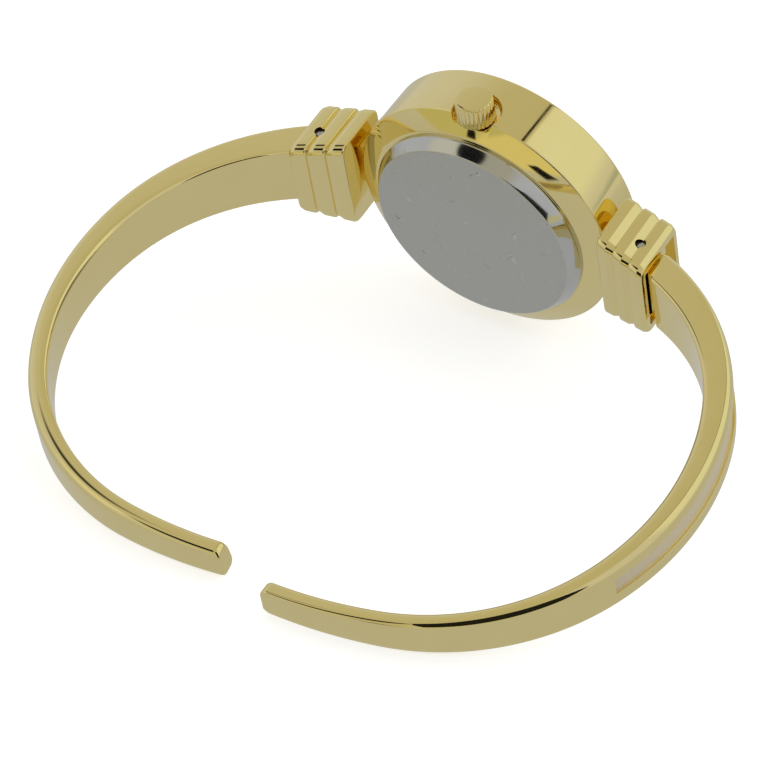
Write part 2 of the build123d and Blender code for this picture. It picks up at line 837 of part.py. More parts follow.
with BuildPart() as battery_clip:
    with BuildSketch(level(web_low - battery_thickness)):
        with BuildLine():
            CenterArc(clip_screw, 2 * screw_head_radius, 0, 360)
            CenterArc(battery_at, 2 * screw_head_radius, 0, 360)
        make_hull()
        with Locations(clip_screw):
            Circle(screw_shank_radius, mode=Mode.SUBTRACT)
    extrude(amount=-clip_thickness)
battery_clip.part.label = "battery_clip"

with BuildPart() as circuit_board:
    with BuildSketch(level(board_level)):
        with Locations((board_left, board_low)):
            Rectangle(board_right - board_left, board_high - board_low, align=(Align.MIN, Align.MIN))
    extrude(amount=board_thickness)
circuit_board.part.label = "circuit_board"

with BuildPart() as circuit_chip:
    with BuildSketch(level(board_level)):
        with Locations((board_right - chip_size / 2, board_high - chip_size / 2)):
            Rectangle(chip_size - sliding, chip_size - sliding)
    extrude(amount=-chip_thickness)
circuit_chip.part.label = "circuit_chip"

with BuildPart() as quartz_can:
    can_plane = level(board_level - can_radius)
    with BuildSketch(Plane(origin=can_plane.from_local_coords((board_left + can_radius, board_low, 0)),
                           x_dir=(0, 0, 1), z_dir=(1, 0, 0))):
        Circle(can_radius)
    extrude(amount=can_length)
quartz_can.part.label = "quartz_can"

# Stepping motor: coil on its core, stator around the rotor
with BuildPart() as coil_core:
    with BuildSketch(level(stator_low - coil_core_thickness)):
        with Locations(coil_at):
            Rectangle(coil_core_length, coil_core_width)
    extrude(amount=coil_core_thickness)
coil_core.part.label = "coil_core"

with BuildPart() as coil_winding:
    coil_middle = level(stator_low - coil_core_thickness / 2)
    with BuildSketch(Plane(origin=coil_middle.from_local_coords((coil_at[0] - coil_length / 2, coil_at[1], 0)),
                           x_dir=(0, 1, 0), z_dir=(0, 0, 1))):
        Circle(coil_radius)
        Rectangle(coil_core_thickness, coil_core_width, mode=Mode.SUBTRACT)
    extrude(amount=coil_length)
coil_winding.part.label = "coil_winding"

with BuildPart() as stator:
    with BuildSketch(level(stator_low)):
        core_left = coil_at[0] - coil_core_length / 2
        core_right = coil_at[0] + coil_core_length / 2
        with Locations(rotor_at):
            Circle(stator_pad)
        with Locations((core_left, stator_long_leg_at)):
            Rectangle(rotor_at[0] - core_left, stator_leg, align=(Align.MIN, Align.CENTER))
        with Locations((core_left, stator_long_leg_at)):
            Rectangle(stator_leg, stator_long_leg_at - coil_at[1] + stator_leg / 2, align=(Align.MIN, Align.MAX))
        with Locations((core_right - stator_leg, coil_at[1])):
            Rectangle(rotor_at[0] - core_right + stator_leg, stator_leg, align=(Align.MIN, Align.CENTER))
        with Locations(rotor_at):
            Circle(stator_bore, mode=Mode.SUBTRACT)
    extrude(amount=stator_high - stator_low)
stator.part.label = "stator"


def toothed(place, teeth, module, turn, low, high):
    """Toothed disc in the part being built."""
    with BuildSketch(level(low)) as outline:
        with Locations(Location((place[0], place[1], 0), (0, 0, turn))):
            Polygon(*gear_points(teeth, module), align=None)
    extrude(outline.sketch, amount=high - low)


def shaft(place, radius, low, high):
    """Plain round length of an arbor in the part being built."""
    with BuildSketch(level(low)) as outline:
        with Locations(place):
            Circle(radius)
    extrude(outline.sketch, amount=high - low)


def pivoted(place):
    """Arbor between bridge and main plate with a thinner pivot at both ends."""
    shaft(place, arbor_radius, plate_low + running, web_low - running)
    shaft(place, pivot_radius, plate_low - bridge_thickness / 2, (web_low + web_high) / 2)


centre_at = (0, 0)
third_pinion_turn = mesh_turn(third_pinion_teeth, bearing(centre_at, third_at), centre_teeth, 0)
intermediate_pinion_turn = mesh_turn(pinion_teeth, bearing(third_at, intermediate_at), third_teeth, 0)
rotor_turn = mesh_turn(pinion_teeth, bearing(intermediate_at, rotor_at), intermediate_teeth, 0)

with BuildPart() as rotor:
    pivoted(rotor_at)
    toothed(rotor_at, pinion_teeth, intermediate_module, rotor_turn,
            intermediate_wheel_level - running, intermediate_wheel_level + wheel_thickness + running)
    shaft(rotor_at, magnet_radius, magnet_low, magnet_high)
rotor.part.label = "rotor"

with BuildPart() as intermediate_wheel:
    pivoted(intermediate_at)
    toothed(intermediate_at, intermediate_teeth, intermediate_module, 0,
            intermediate_wheel_level, intermediate_wheel_level + wheel_thickness)
    toothed(intermediate_at, pinion_teeth, third_module, intermediate_pinion_turn,
            third_wheel_level - running, third_wheel_level + wheel_thickness + running)
intermediate_wheel.part.label = "intermediate_wheel"

with BuildPart() as third_wheel:
    pivoted(third_at)
    toothed(third_at, third_teeth, third_module, 0, third_wheel_level, third_wheel_level + wheel_thickness)
    toothed(third_at, third_pinion_teeth, centre_module, third_pinion_turn,
            centre_wheel_level - running, centre_wheel_level + wheel_thickness + running)
third_wheel.part.label = "third_wheel"

with BuildPart() as centre_wheel:
    shaft(centre_at, pivot_radius, plate_low - bridge_thickness / 2, plate_low + running)
    shaft(centre_at, cannon_bore, plate_low + running, minute_hand_level)
    toothed(centre_at, centre_teeth, centre_module, 0, centre_wheel_level, centre_wheel_level + wheel_thickness)
centre_wheel.part.label = "centre_wheel"

# Motion work: cannon pinion, minute wheel and hour wheel give the twelve to one ratio
minute_module = 2 * motion_distance / (cannon_teeth + minute_wheel_teeth)
hour_module = 2 * motion_distance / (minute_pinion_teeth + hour_wheel_teeth)
with BuildPart() as cannon_pinion:
    toothed(centre_at, cannon_teeth, minute_module, 0, cannon_low, cannon_leaf_top)
    shaft(centre_at, cannon_outer, cannon_low, minute_hand_level + hand_thickness)
    with BuildSketch(level(cannon_low)):
        Circle(cannon_bore)
    extrude(amount=minute_hand_level - cannon_low, mode=Mode.SUBTRACT)
cannon_pinion.part.label = "cannon_pinion"

with BuildPart() as minute_wheel:
    minute_turn = mesh_turn(minute_wheel_teeth, motion_direction_angle, cannon_teeth, 0)
    toothed(motion_at, minute_wheel_teeth, minute_module, minute_turn,
            cannon_low + running, cannon_low + running + wheel_thickness)
    toothed(motion_at, minute_pinion_teeth, hour_module, 0, cannon_low + running, minute_pinion_top)
    with BuildSketch(level(web_low)):
        with Locations(motion_at):
            Circle(stud_radius + running)
    extrude(amount=plate_high - web_low, mode=Mode.SUBTRACT)
minute_wheel.part.label = "minute_wheel"

with BuildPart() as hour_wheel:
    hour_turn = mesh_turn(hour_wheel_teeth, bearing(motion_at, centre_at), minute_pinion_teeth, 0)
    toothed(centre_at, hour_wheel_teeth, hour_module, hour_turn,
            hour_wheel_level, hour_wheel_level + wheel_thickness)
    shaft(centre_at, hour_pipe_outer, hour_wheel_level, hour_hand_level + hand_thickness)
    with BuildSketch(level(web_low)):
        Circle(cannon_outer + running)
    extrude(amount=crystal_ledge - web_low, mode=Mode.SUBTRACT)
hour_wheel.part.label = "hour_wheel"


# Hands: tapered blades with a short tail and a round hub
def hand_blade(length, width, hub, bore):
    Circle(hub)
    Polygon((-hand_tail, -width / 2), (length, -width / 2 * hand_tip_share),
            (length, width / 2 * hand_tip_share), (-hand_tail, width / 2), align=None)
    Circle(bore, mode=Mode.SUBTRACT)


with BuildPart() as hour_hand:
    with BuildSketch(level(hour_hand_level)):
        with Locations(Location((0, 0, 0), (0, 0, hour_hand_angle))):
            hand_blade(hour_hand_length, hour_hand_width, hour_pipe_outer + hand_rim, hour_pipe_outer)
    extrude(amount=hand_thickness)
hour_hand.part.label = "hour_hand"

with BuildPart() as minute_hand:
    with BuildSketch(level(minute_hand_level)):
        with Locations(Location((0, 0, 0), (0, 0, minute_hand_angle))):
            hand_blade(minute_hand_length, minute_hand_width, cannon_outer + hand_rim, cannon_outer)
    extrude(amount=hand_thickness)
minute_hand.part.label = "minute_hand"

# Setting lever: its pin sits in the neck of the stem
with BuildPart() as setting_lever:
    lever_turn = math.radians(lever_half_angle)
    lever_pin_at = (lever_at[0] - lever_at[1] * math.sin(lever_turn),
                    lever_at[1] - lever_at[1] * math.cos(lever_turn))
    with BuildSketch(level(lever_level)):
        with BuildLine():
            CenterArc(lever_at, 2 * lever_post_radius, 0, 360)
            CenterArc(lever_pin_at, lever_post_radius, 0, 360)
        make_hull()
        with Locations(lever_at):
            Circle(lever_pin_radius + running, mode=Mode.SUBTRACT)
    extrude(amount=lever_thickness)
    shaft(lever_pin_at, lever_pin_radius, lever_level, stem_level + stem_neck_radius + sliding)
setting_lever.part.label = "setting_lever"

export_step(case.part, "parts/case.step")
export_step(case_back.part, "parts/case_back.step")
export_step(crystal.part, "parts/crystal.step")
export_step(crystal_gasket.part, "parts/crystal_gasket.step")
export_step(dial.part, "parts/dial.step")
export_step(hour_markers.part, "parts/hour_markers.step")
export_step(crown.part, "parts/crown.step")
export_step(crown_tube.part, "parts/crown_tube.step")
export_step(crown_gasket.part, "parts/crown_gasket.step")
export_step(setting_stem.part, "parts/setting_stem.step")
export_step(clutch_wheel.part, "parts/clutch_wheel.step")
export_step(right_block.part, "parts/right_block.step")
export_step(left_block.part, "parts/left_block.step")
export_step(right_arm.part, "parts/right_arm.step")
export_step(left_arm.part, "parts/left_arm.step")
export_step(case_back_gasket.part, "parts/case_back_gasket.step")
export_step(hour_hand.part, "parts/hour_hand.step")
export_step(minute_hand.part, "parts/minute_hand.step")
export_step(movement_ring.part, "parts/movement_ring.step")
export_step(main_plate.part, "parts/main_plate.step")
export_step(train_bridge.part, "parts/train_bridge.step")
export_step(movement_screws.part, "parts/movement_screws.step")
export_step(battery.part, "parts/battery.step")
export_step(battery_clip.part, "parts/battery_clip.step")
export_step(circuit_board.part, "parts/circuit_board.step")
export_step(circuit_chip.part, "parts/circuit_chip.step")
export_step(quartz_can.part, "parts/quartz_can.step")
export_step(coil_core.part, "parts/coil_core.step")
export_step(coil_winding.part, "parts/coil_winding.step")
export_step(stator.part, "parts/stator.step")
export_step(rotor.part, "parts/rotor.step")
export_step(intermediate_wheel.part, "parts/intermediate_wheel.step")
export_step(third_wheel.part, "parts/third_wheel.step")
export_step(centre_wheel.part, "parts/centre_wheel.step")
export_step(cannon_pinion.part, "parts/cannon_pinion.step")
export_step(minute_wheel.part, "parts/minute_wheel.step")
export_step(hour_wheel.part, "parts/hour_wheel.step")
export_step(setting_lever.part, "parts/setting_lever.step")
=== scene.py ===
import math
import bmesh
import bpy
from mathutils import Matrix, Vector


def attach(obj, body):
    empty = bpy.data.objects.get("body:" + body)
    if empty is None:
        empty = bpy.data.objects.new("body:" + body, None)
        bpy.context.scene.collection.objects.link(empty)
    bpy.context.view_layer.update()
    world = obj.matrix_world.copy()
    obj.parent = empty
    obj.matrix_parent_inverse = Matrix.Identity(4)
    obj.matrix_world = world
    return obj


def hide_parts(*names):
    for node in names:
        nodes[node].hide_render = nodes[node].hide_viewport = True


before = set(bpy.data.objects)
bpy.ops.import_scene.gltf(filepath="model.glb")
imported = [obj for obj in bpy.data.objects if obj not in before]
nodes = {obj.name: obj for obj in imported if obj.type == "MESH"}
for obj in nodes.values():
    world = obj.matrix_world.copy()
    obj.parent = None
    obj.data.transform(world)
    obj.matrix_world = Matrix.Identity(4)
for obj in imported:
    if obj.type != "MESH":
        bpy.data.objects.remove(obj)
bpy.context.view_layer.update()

# Bangle watch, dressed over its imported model. Sizes below are in millimetres and go
# to metres in newMesh. The case axis runs along Y, the crown points up along Z.

mm = 0.001
corner = 23.5          # wrist centre to the corner between the band and the back chamfer
capCorners = 14        # a face with more corners than this is an end cap
sideParts = 2.05       # an even rounding takes at most one such part of a side at each end
eased = {"interpolation_type": "SMOOTHSTEP"}


def linear(hexColour):
    # sRGB hex to the linear values that the shader sockets take
    channels = [int(hexColour[i:i + 2], 16) / 255 for i in (0, 2, 4)]
    return [c / 12.92 if c <= 0.04045 else ((c + 0.055) / 1.055) ** 2.4 for c in channels] + [1.0]


def addNode(tree, kind, inputs=None, **settings):
    # adds one node, sets it up, and links or fills its sockets
    node = tree.nodes.new("ShaderNode" + kind)
    for key, value in settings.items():
        setattr(node, key, value)
    for key, value in (inputs or {}).items():
        if isinstance(value, bpy.types.NodeSocket):
            tree.links.new(value, node.inputs[key])
        else:
            node.inputs[key].default_value = value
    return node


def newMaterial(name, **shaderValues):
    material = bpy.data.materials.new(name)
    material.use_nodes = True
    tree = material.node_tree
    shader = tree.nodes["Principled BSDF"]
    for key, value in shaderValues.items():
        shader.inputs[key.replace("_", " ")].default_value = value
    place = addNode(tree, "TexCoord").outputs["Object"]
    return material, tree, shader, place


def feedShader(tree, shader, tone, gloss=None, bump=None):
    # the pattern's tone, gloss and relief go to the shader
    tree.links.new(tone.outputs[2], shader.inputs["Base Color"])
    if gloss:
        tree.links.new(gloss.outputs["Result"], shader.inputs["Roughness"])
    if bump:
        tree.links.new(bump.outputs["Normal"], shader.inputs["Normal"])


def perMetre(sizeInMm):
    # noise scale that gives features of this size
    return 1 / (sizeInMm * mm)


def smoothPiece(piece, sharpAngle):
    # end caps stay flat, so that they mirror like the planes they are
    piece.data.shade_smooth()
    for face in piece.data.polygons:
        if len(face.vertices) > capCorners:
            face.use_smooth = False
    piece.data.set_sharp_from_angle(angle=math.radians(sharpAngle))


def newMesh(name, points, faces, looks=None):
    # closed mesh in metres from points in millimetres, with outward normals
    mesh = bpy.data.meshes.new(name)
    mesh.from_pydata([[c * mm for c in p] for p in points], [], faces)
    if looks:
        mesh.polygons.foreach_set("material_index", looks)
    work = bmesh.new()
    work.from_mesh(mesh)
    bmesh.ops.remove_doubles(work, verts=work.verts, dist=1e-7)
    bmesh.ops.recalc_face_normals(work, faces=work.faces)
    work.to_mesh(mesh)
    work.free()
    piece = bpy.data.objects.new(name, mesh)
    bpy.context.scene.collection.objects.link(piece)
    return piece


def newPiece(name, points, faces, body, slot, materials, sharpAngle=32, looks=None):
    piece = newMesh(name, points, faces, looks)
    for material in materials:
        piece.data.materials.append(material)
    smoothPiece(piece, sharpAngle)
    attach(piece, body)
    return piece


def carve(piece, steps, sharpAngle=32):
    # joins tools to the piece or cuts them out of it, and leaves a plain mesh
    for operation, tool in steps:
        modifier = piece.modifiers.new("carve", "BOOLEAN")
        modifier.operation = operation
        modifier.solver = "EXACT"
        modifier.object = tool
    bpy.context.view_layer.update()
    shaped = piece.evaluated_get(bpy.context.evaluated_depsgraph_get())
    mesh = bpy.data.meshes.new_from_object(shaped)
    piece.modifiers.clear()
    piece.data = mesh
    for operation, tool in steps:
        bpy.data.objects.remove(tool)
    smoothPiece(piece, sharpAngle)


def softened(corners, radii, steps=3, closed=False):
    # rounds the corners of a line with short arcs; same number of points for the same corners.
    # A pair of radii reaches a different way back and on, and has to fit as it is.
    line = []
    count = len(corners)
    for i, here in enumerate(corners):
        radius = radii[i] if isinstance(radii, (list, tuple)) else radii
        backReach, onReach = radius if isinstance(radius, tuple) else (radius, radius)
        if (not closed and i in (0, count - 1)) or radius == 0:
            line += [here] * (steps + 1 if closed else 1)
            continue
        before, after = corners[i - 1], corners[(i + 1) % count]
        backX, backY = before[0] - here[0], before[1] - here[1]
        onX, onY = after[0] - here[0], after[1] - here[1]
        backLong, onLong = math.hypot(backX, backY), math.hypot(onX, onY)
        if backReach == onReach:
            backReach = onReach = min(backReach, backLong / sideParts, onLong / sideParts)
        start = (here[0] + backX / backLong * backReach, here[1] + backY / backLong * backReach)
        end = (here[0] + onX / onLong * onReach, here[1] + onY / onLong * onReach)
        for step in range(steps + 1):
            t = step / steps
            line.append(tuple((1 - t) ** 2 * a + 2 * t * (1 - t) * b + t * t * c
                              for a, b, c in zip(start, here, end)))
    return line


def turned(profile, segments):
    # lathe round the case axis: profile is (radius, height above the back corner)
    points, faces = [], []
    for i in range(segments):
        turn = 2 * math.pi * i / segments
        points += [(r * math.sin(turn), corner + h, r * math.cos(turn)) for r, h in profile]
    long = len(profile)
    for i in range(segments):
        j = (i + 1) % segments
        for k in range(long - 1):
            a, b, c, d = i * long + k, i * long + k + 1, j * long + k + 1, j * long + k
            corners = [a, b, c, d]
            if profile[k][0] == 0:
                corners = [a, b, c]
            elif profile[k + 1][0] == 0:
                corners = [a, b, d]
            faces.append(corners)
    return points, faces


def skinned(loops):
    # skin over loops that all have the same number of points, with a cap at each end
    points = [p for loop in loops for p in loop]
    around = len(loops[0])
    faces = []
    for i in range(len(loops) - 1):
        here, after = i * around, (i + 1) * around
        for k in range(around):
            n = (k + 1) % around
            faces.append([here + k, here + n, after + n, after + k])
    faces.append(list(range(around))[::-1])
    faces.append([(len(loops) - 1) * around + k for k in range(around)])
    return points, faces


def discLoops(profile, centreX, centreY, segments):
    # loops round an axis parallel to Z: profile is (radius, place along Z)
    turns = [2 * math.pi * k / segments for k in range(segments)]
    return [[(centreX + radius * math.cos(turn), centreY + radius * math.sin(turn), z)
             for turn in turns] for radius, z in profile]


def paleGoldPlate():
    # Brass under a polished pale gold plate: a mirror with faint clouding where it has been
    # handled, and hairlines too fine to see one by one.
    look = {"colour": "F5E6A8", "warm": "F0DFA0", "smooth": 0.035, "dulled": 0.09, "patch": 4.0,
            "patchSpread": (0.35, 0.7), "hairline": 0.15, "hairDepth": 0.01}
    material, tree, shader, place = newMaterial("polished pale gold plate", Metallic=1.0)
    patches = addNode(tree, "TexNoise", {
        "Vector": place, "Scale": perMetre(look["patch"]), "Detail": 3.0})
    tone = addNode(tree, "Mix", {0: patches.outputs["Fac"], 6: linear(look["colour"]),
                                 7: linear(look["warm"])}, data_type="RGBA")
    gloss = addNode(tree, "MapRange", {
        "Value": patches.outputs["Fac"], "From Min": look["patchSpread"][0],
        "From Max": look["patchSpread"][1], "To Min": look["smooth"], "To Max": look["dulled"]})
    grain = addNode(tree, "TexNoise", {
        "Vector": place, "Scale": perMetre(look["hairline"]), "Detail": 2.0})
    bump = addNode(tree, "Bump", {
        "Height": grain.outputs["Fac"], "Strength": 0.02, "Distance": look["hairDepth"] * mm})
    feedShader(tree, shader, tone, gloss, bump)
    return material


def grainedFinish(name, colours, gloss, grainSize, depth, strength=0.3, detail=4.0,
                  noiseRough=0.5, spread=(0, 1), **shaderValues):
    # one grain drives a tone that drifts a little, the gloss and the relief
    material, tree, shader, place = newMaterial(name, **shaderValues)
    grain = addNode(tree, "TexNoise", {
        "Vector": place, "Scale": perMetre(grainSize), "Detail": detail, "Roughness": noiseRough})
    tone = addNode(tree, "Mix", {
        0: grain.outputs["Fac"], 6: linear(colours[0]), 7: linear(colours[1])}, data_type="RGBA")
    rough = addNode(tree, "MapRange", {
        "Value": grain.outputs["Fac"], "From Min": spread[0], "From Max": spread[1],
        "To Min": gloss[0], "To Max": gloss[1]})
    bump = None
    if depth:
        bump = addNode(tree, "Bump", {
            "Height": grain.outputs["Fac"], "Strength": strength, "Distance": depth * mm})
    feedShader(tree, shader, tone, rough, bump)
    return material


def satinGoldChannel():
    # The same plate over a lapped channel floor: paler and matt, so it stays even where
    # the polished rims beside it mirror the room. Lap marks drawn four times their width.
    look = {"colours": ("E2D5BA", "D8CBAE"), "gloss": (0.4, 0.52), "lapMark": 0.12, "depth": 0.01}
    return grainedFinish("satin pale gold channel", look["colours"], look["gloss"],
                         look["lapMark"], look["depth"], 0.25, noiseRough=0.7, Metallic=0.45)


def metalFinish(name, colour, second, smooth, rough, grainSize, bumpDepth=0.0):
    # the plain metals: only the middle of the noise counts, so the gloss changes in patches
    return grainedFinish(name, (colour, second), (smooth, rough), grainSize, bumpDepth,
                         spread=(0.3, 0.7), Metallic=1.0)


def mouldedPlastic(name, colour, second, rough, grainSize, bumpDepth=0.01):
    # the mould's fine texture over a dielectric
    return grainedFinish(name, (colour, second), (rough - 0.06, rough + 0.06), grainSize,
                         bumpDepth, detail=3.0, Metallic=0.0, IOR=1.5)


def satinSteel():
    # Stainless back, lapped to a satin face: an even grey with pale rubbed scuffs and a few
    # hair scratches, drawn about three times as wide as real ones so that they show.
    look = {"colour": "C3C3BF", "scuff": "E2E2DE", "scratch": "82827F",
            "smooth": 0.3, "rough": 0.42, "scuffSize": 1.1, "scuffRange": (0.6, 0.72),
            "scratchSize": 5.0, "scratchWidth": 0.006, "scratchRange": (0.54, 0.6),
            "grain": 0.08, "grainDepth": 0.01}
    material, tree, shader, place = newMaterial("satin stainless steel", Metallic=1.0)
    cloud = addNode(tree, "TexNoise", {
        "Vector": place, "Scale": perMetre(look["scuffSize"]), "Detail": 7.0, "Roughness": 0.75})
    rubbed = addNode(tree, "MapRange", {
        "Value": cloud.outputs["Fac"], "From Min": look["scuffRange"][0],
        "From Max": look["scuffRange"][1]})
    tone = addNode(tree, "Mix", {0: rubbed.outputs["Result"], 6: linear(look["colour"]),
                                 7: linear(look["scuff"])}, data_type="RGBA")
    swirl = addNode(tree, "TexNoise", {
        "Vector": place, "Scale": perMetre(look["scratchSize"]), "Detail": 1.0, "Distortion": 1.5})
    offLine = addNode(tree, "Math", {0: swirl.outputs["Fac"], 1: 0.5}, operation="SUBTRACT")
    nearLine = addNode(tree, "Math", {0: offLine.outputs[0]}, operation="ABSOLUTE")
    line = addNode(tree, "MapRange", {
        "Value": nearLine.outputs[0], "From Min": 0.0, "From Max": look["scratchWidth"],
        "To Min": 1.0, "To Max": 0.0})
    where = addNode(tree, "MapRange", {
        "Value": cloud.outputs["Fac"], "From Min": look["scratchRange"][0],
        "From Max": look["scratchRange"][1]})
    scratched = addNode(tree, "Math", {0: line.outputs["Result"], 1: where.outputs["Result"]},
                        operation="MULTIPLY")
    marked = addNode(tree, "Mix", {
        0: scratched.outputs[0], 6: tone.outputs[2], 7: linear(look["scratch"])}, data_type="RGBA")
    gloss = addNode(tree, "MapRange", {
        "Value": cloud.outputs["Fac"], "To Min": look["smooth"], "To Max": look["rough"]})
    grain = addNode(tree, "TexNoise", {
        "Vector": place, "Scale": perMetre(look["grain"]), "Detail": 2.0})
    bump = addNode(tree, "Bump", {
        "Height": grain.outputs["Fac"], "Strength": 0.15, "Distance": look["grainDepth"] * mm})
    feedShader(tree, shader, marked, gloss, bump)
    return material


def watchGlass():
    # Mineral glass: clear and polished, with a hint of green that drifts a little in broad patches.
    look = {"colour": "FBFDFC", "edge": "F5FAF8", "smear": 5}
    material, tree, shader, place = newMaterial("mineral watch glass", IOR=1.52, Roughness=0.0,
                                                Transmission_Weight=1.0)
    smear = addNode(tree, "TexNoise", {
        "Vector": place, "Scale": perMetre(look["smear"]), "Detail": 2.0})
    tone = addNode(tree, "Mix", {0: smear.outputs["Fac"], 6: linear(look["colour"]),
                                 7: linear(look["edge"])}, data_type="RGBA")
    feedShader(tree, shader, tone)
    return material


def champagneDial():
    # Sunburst-brushed brass under a pale champagne lacquer: fine rays from the middle.
    look = {"colour": "F0E6CC", "ray": "DFD2AF", "rayCount": 90, "smooth": 0.22, "rough": 0.4}
    material, tree, shader, place = newMaterial("champagne sunburst dial", Metallic=0.75)
    split = addNode(tree, "SeparateXYZ", {"Vector": place})
    angle = addNode(tree, "Math", {0: split.outputs["X"], 1: split.outputs["Z"]},
                    operation="ARCTAN2")
    spread = addNode(tree, "Math", {0: angle.outputs[0], 1: look["rayCount"] / (2 * math.pi)},
                     operation="MULTIPLY")
    rays = addNode(tree, "TexNoise", {"W": spread.outputs[0], "Scale": 3.0, "Detail": 3.0},
                   noise_dimensions="1D")
    tone = addNode(tree, "Mix", {0: rays.outputs["Fac"], 6: linear(look["colour"]),
                                 7: linear(look["ray"])}, data_type="RGBA")
    gloss = addNode(tree, "MapRange", {
        "Value": rays.outputs["Fac"], "To Min": look["smooth"], "To Max": look["rough"]})
    feedShader(tree, shader, tone, gloss)
    return material


gold = paleGoldPlate()
channelGold = satinGoldChannel()
steelBack = satinSteel()
# a metal's two tones, how smooth and rough it gets, its grain in mm, and the grain's depth
steelRim = metalFinish("polished stainless rim", "CECECC", "C4C4C2", 0.05, 0.12, 2.5)
steel = metalFinish("turned stainless steel", "BABAB8", "C8C8C6", 0.2, 0.32, 0.3, 0.003)
# plating doesn't reach into the pin holes: bare brass gone dark, with painted shade making a
# near-black line round each pin
tarnishAndPaintedShade = metalFinish("tarnished brass hole wall with painted shade", "3A3222", "2A2418", 0.45, 0.6, 0.15)
goldTrim = metalFinish("polished gold trim", "F4DF9A", "EED58C", 0.06, 0.12, 0.8)
glass = watchGlass()
champagne = champagneDial()
print("materials: main finishes made")

# the movement's own finishes
nickel = metalFinish("satin nickel plate", "B9B7B0", "C6C4BD", 0.28, 0.4, 0.25, 0.003)
brassWheel = metalFinish("gilt wheel brass", "C9A860", "D6B871", 0.18, 0.3, 0.2, 0.002)
cellSteel = metalFinish("drawn cell steel", "B4B6B8", "C2C4C6", 0.2, 0.3, 0.5, 0.003)
softIron = metalFinish("annealed motor iron", "8E8D8A", "9A9996", 0.32, 0.45, 0.3, 0.004)
magnetMetal = metalFinish("sintered magnet", "55565A", "626367", 0.4, 0.55, 0.15, 0.005)
copperWire = metalFinish("enamelled copper wire", "B26A3A", "C27B48", 0.25, 0.35, 0.12, 0.01)
boardLaminate = mouldedPlastic("green board laminate", "1C5B2E", "24683A", 0.35, 0.4)
chipResin = mouldedPlastic("black chip resin", "17181A", "202124", 0.45, 0.1)
whiteRing = mouldedPlastic("white moulded acetal", "DCDBD5", "E6E5E0", 0.4, 1.2)
blackRubber = mouldedPlastic("black seal rubber", "18181A", "232326", 0.6, 0.3)
clearNylon = mouldedPlastic("nylon crystal seal", "D9D9D2", "E2E2DC", 0.4, 0.8)

finishes = {
    goldTrim: ["hour_markers", "hour_hand", "minute_hand"],
    steel: ["crown_tube", "setting_stem", "clutch_wheel", "movement_screws", "setting_lever",
            "battery_clip", "coil_core"],
    nickel: ["main_plate", "train_bridge"], cellSteel: ["battery", "quartz_can"],
    softIron: ["stator"], magnetMetal: ["rotor"], copperWire: ["coil_winding"],
    brassWheel: ["intermediate_wheel", "third_wheel", "centre_wheel", "cannon_pinion",
                 "minute_wheel", "hour_wheel"],
    boardLaminate: ["circuit_board"], chipResin: ["circuit_chip"], whiteRing: ["movement_ring"],
    blackRubber: ["case_back_gasket", "crown_gasket"], clearNylon: ["crystal_gasket"],
    champagne: ["dial"],
}
for material, names in finishes.items():
    for name in names:
        nodes[name].data.materials.clear()
        nodes[name].data.materials.append(material)
print("materials: movement dressed")

caseSize = {
    "profile": [(10.3, -1.03), (10.97, -1.03), (13.0, 0), (12.85, 5.4), (11.2, 6.4),
                (10.75, 6.4), (10.75, 5.0), (9.5, 5.0), (9.5, 3.7), (10.3, 3.7), (10.3, -1.03)],
    "rounding": [0, 0.1, 0.14, 0.22, 0.14, 0.06, 0.02, 0.05, 0.05, 0.02, 0],
    "segments": 240, "stemLevel": 0.9,
    "scoopRadius": 2.3, "scoopFloor": 11.97, "scoopRound": 0.45, "scoopAside": 0.15,
    "scoopTop": 15, "scoopSegments": 96,
}


def makeCase():
    # turned middle with the bowl that the crown sits in
    size = caseSize
    points, faces = turned(softened(size["profile"], size["rounding"], 4), size["segments"])
    case = newPiece("case_middle", points, faces, "watch_head", "gold_plate", [gold])
    bowl = softened([(0.02, size["scoopFloor"]), (size["scoopRadius"], size["scoopFloor"]),
                     (size["scoopRadius"], size["scoopTop"])], [0, size["scoopRound"], 0], 6)
    loops = discLoops(bowl, size["scoopAside"], corner + size["stemLevel"],
                      size["scoopSegments"])
    carve(case, [("DIFFERENCE", newMesh("scoop", *skinned(loops)))])
    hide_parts("case")


makeCase()

backSize = {
    "profile": [(0, -2.45), (9.9, -2.45), (10.65, -1.33), (10.65, -1.03), (10.22, -1.03),
                (10.22, 0.07), (9.5, 0.07), (9.5, -1.7), (0, -1.7)],
    "rounding": [0, 0.12, 0.08, 0.02, 0, 0, 0, 0, 0], "segments": 200, "flatRadius": 9.86,
}


def makeBack():
    # satin flat and polished rim
    size = backSize
    points, faces = turned(softened(size["profile"], size["rounding"], 3), size["segments"])
    back = newPiece("snap_back", points, faces, "watch_head", "steel_back",
                    [steelBack, steelRim])
    for face in back.data.polygons:
        if math.hypot(face.center.x, face.center.z) > size["flatRadius"] * mm:
            face.material_index = 1
    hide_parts("case_back")


makeBack()

crystalSize = {"profile": [(0, 5.0), (10.5, 5.0), (10.5, 6.0), (10.3, 6.2), (0, 6.2)],
               "rounding": [0, 0.03, 0.05, 0.05, 0], "segments": 160}
points, faces = turned(softened(crystalSize["profile"], crystalSize["rounding"], 2),
                       crystalSize["segments"])
crystal = newPiece("watch_glass", points, faces, "watch_head", "mineral_glass", [glass])
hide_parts("crystal")
print("case, back and glass made")

crownSize = {
    "radius": 1.82, "faceRadius": 1.73, "start": 12.07, "end": 14.52, "edge": 0.2,
    "flutes": 24, "fluteDepth": 0.14, "fluteShape": 0.55, "perFlute": 12,
    "cupRadius": 1.28, "cupDepth": 1.75, "faceDome": 0.07, "sharpAngle": 40,
    "doming": [(1.2, 0.66), (0.8, 0.26), (0.4, 0.06)],     # radius, share of the dome there
}


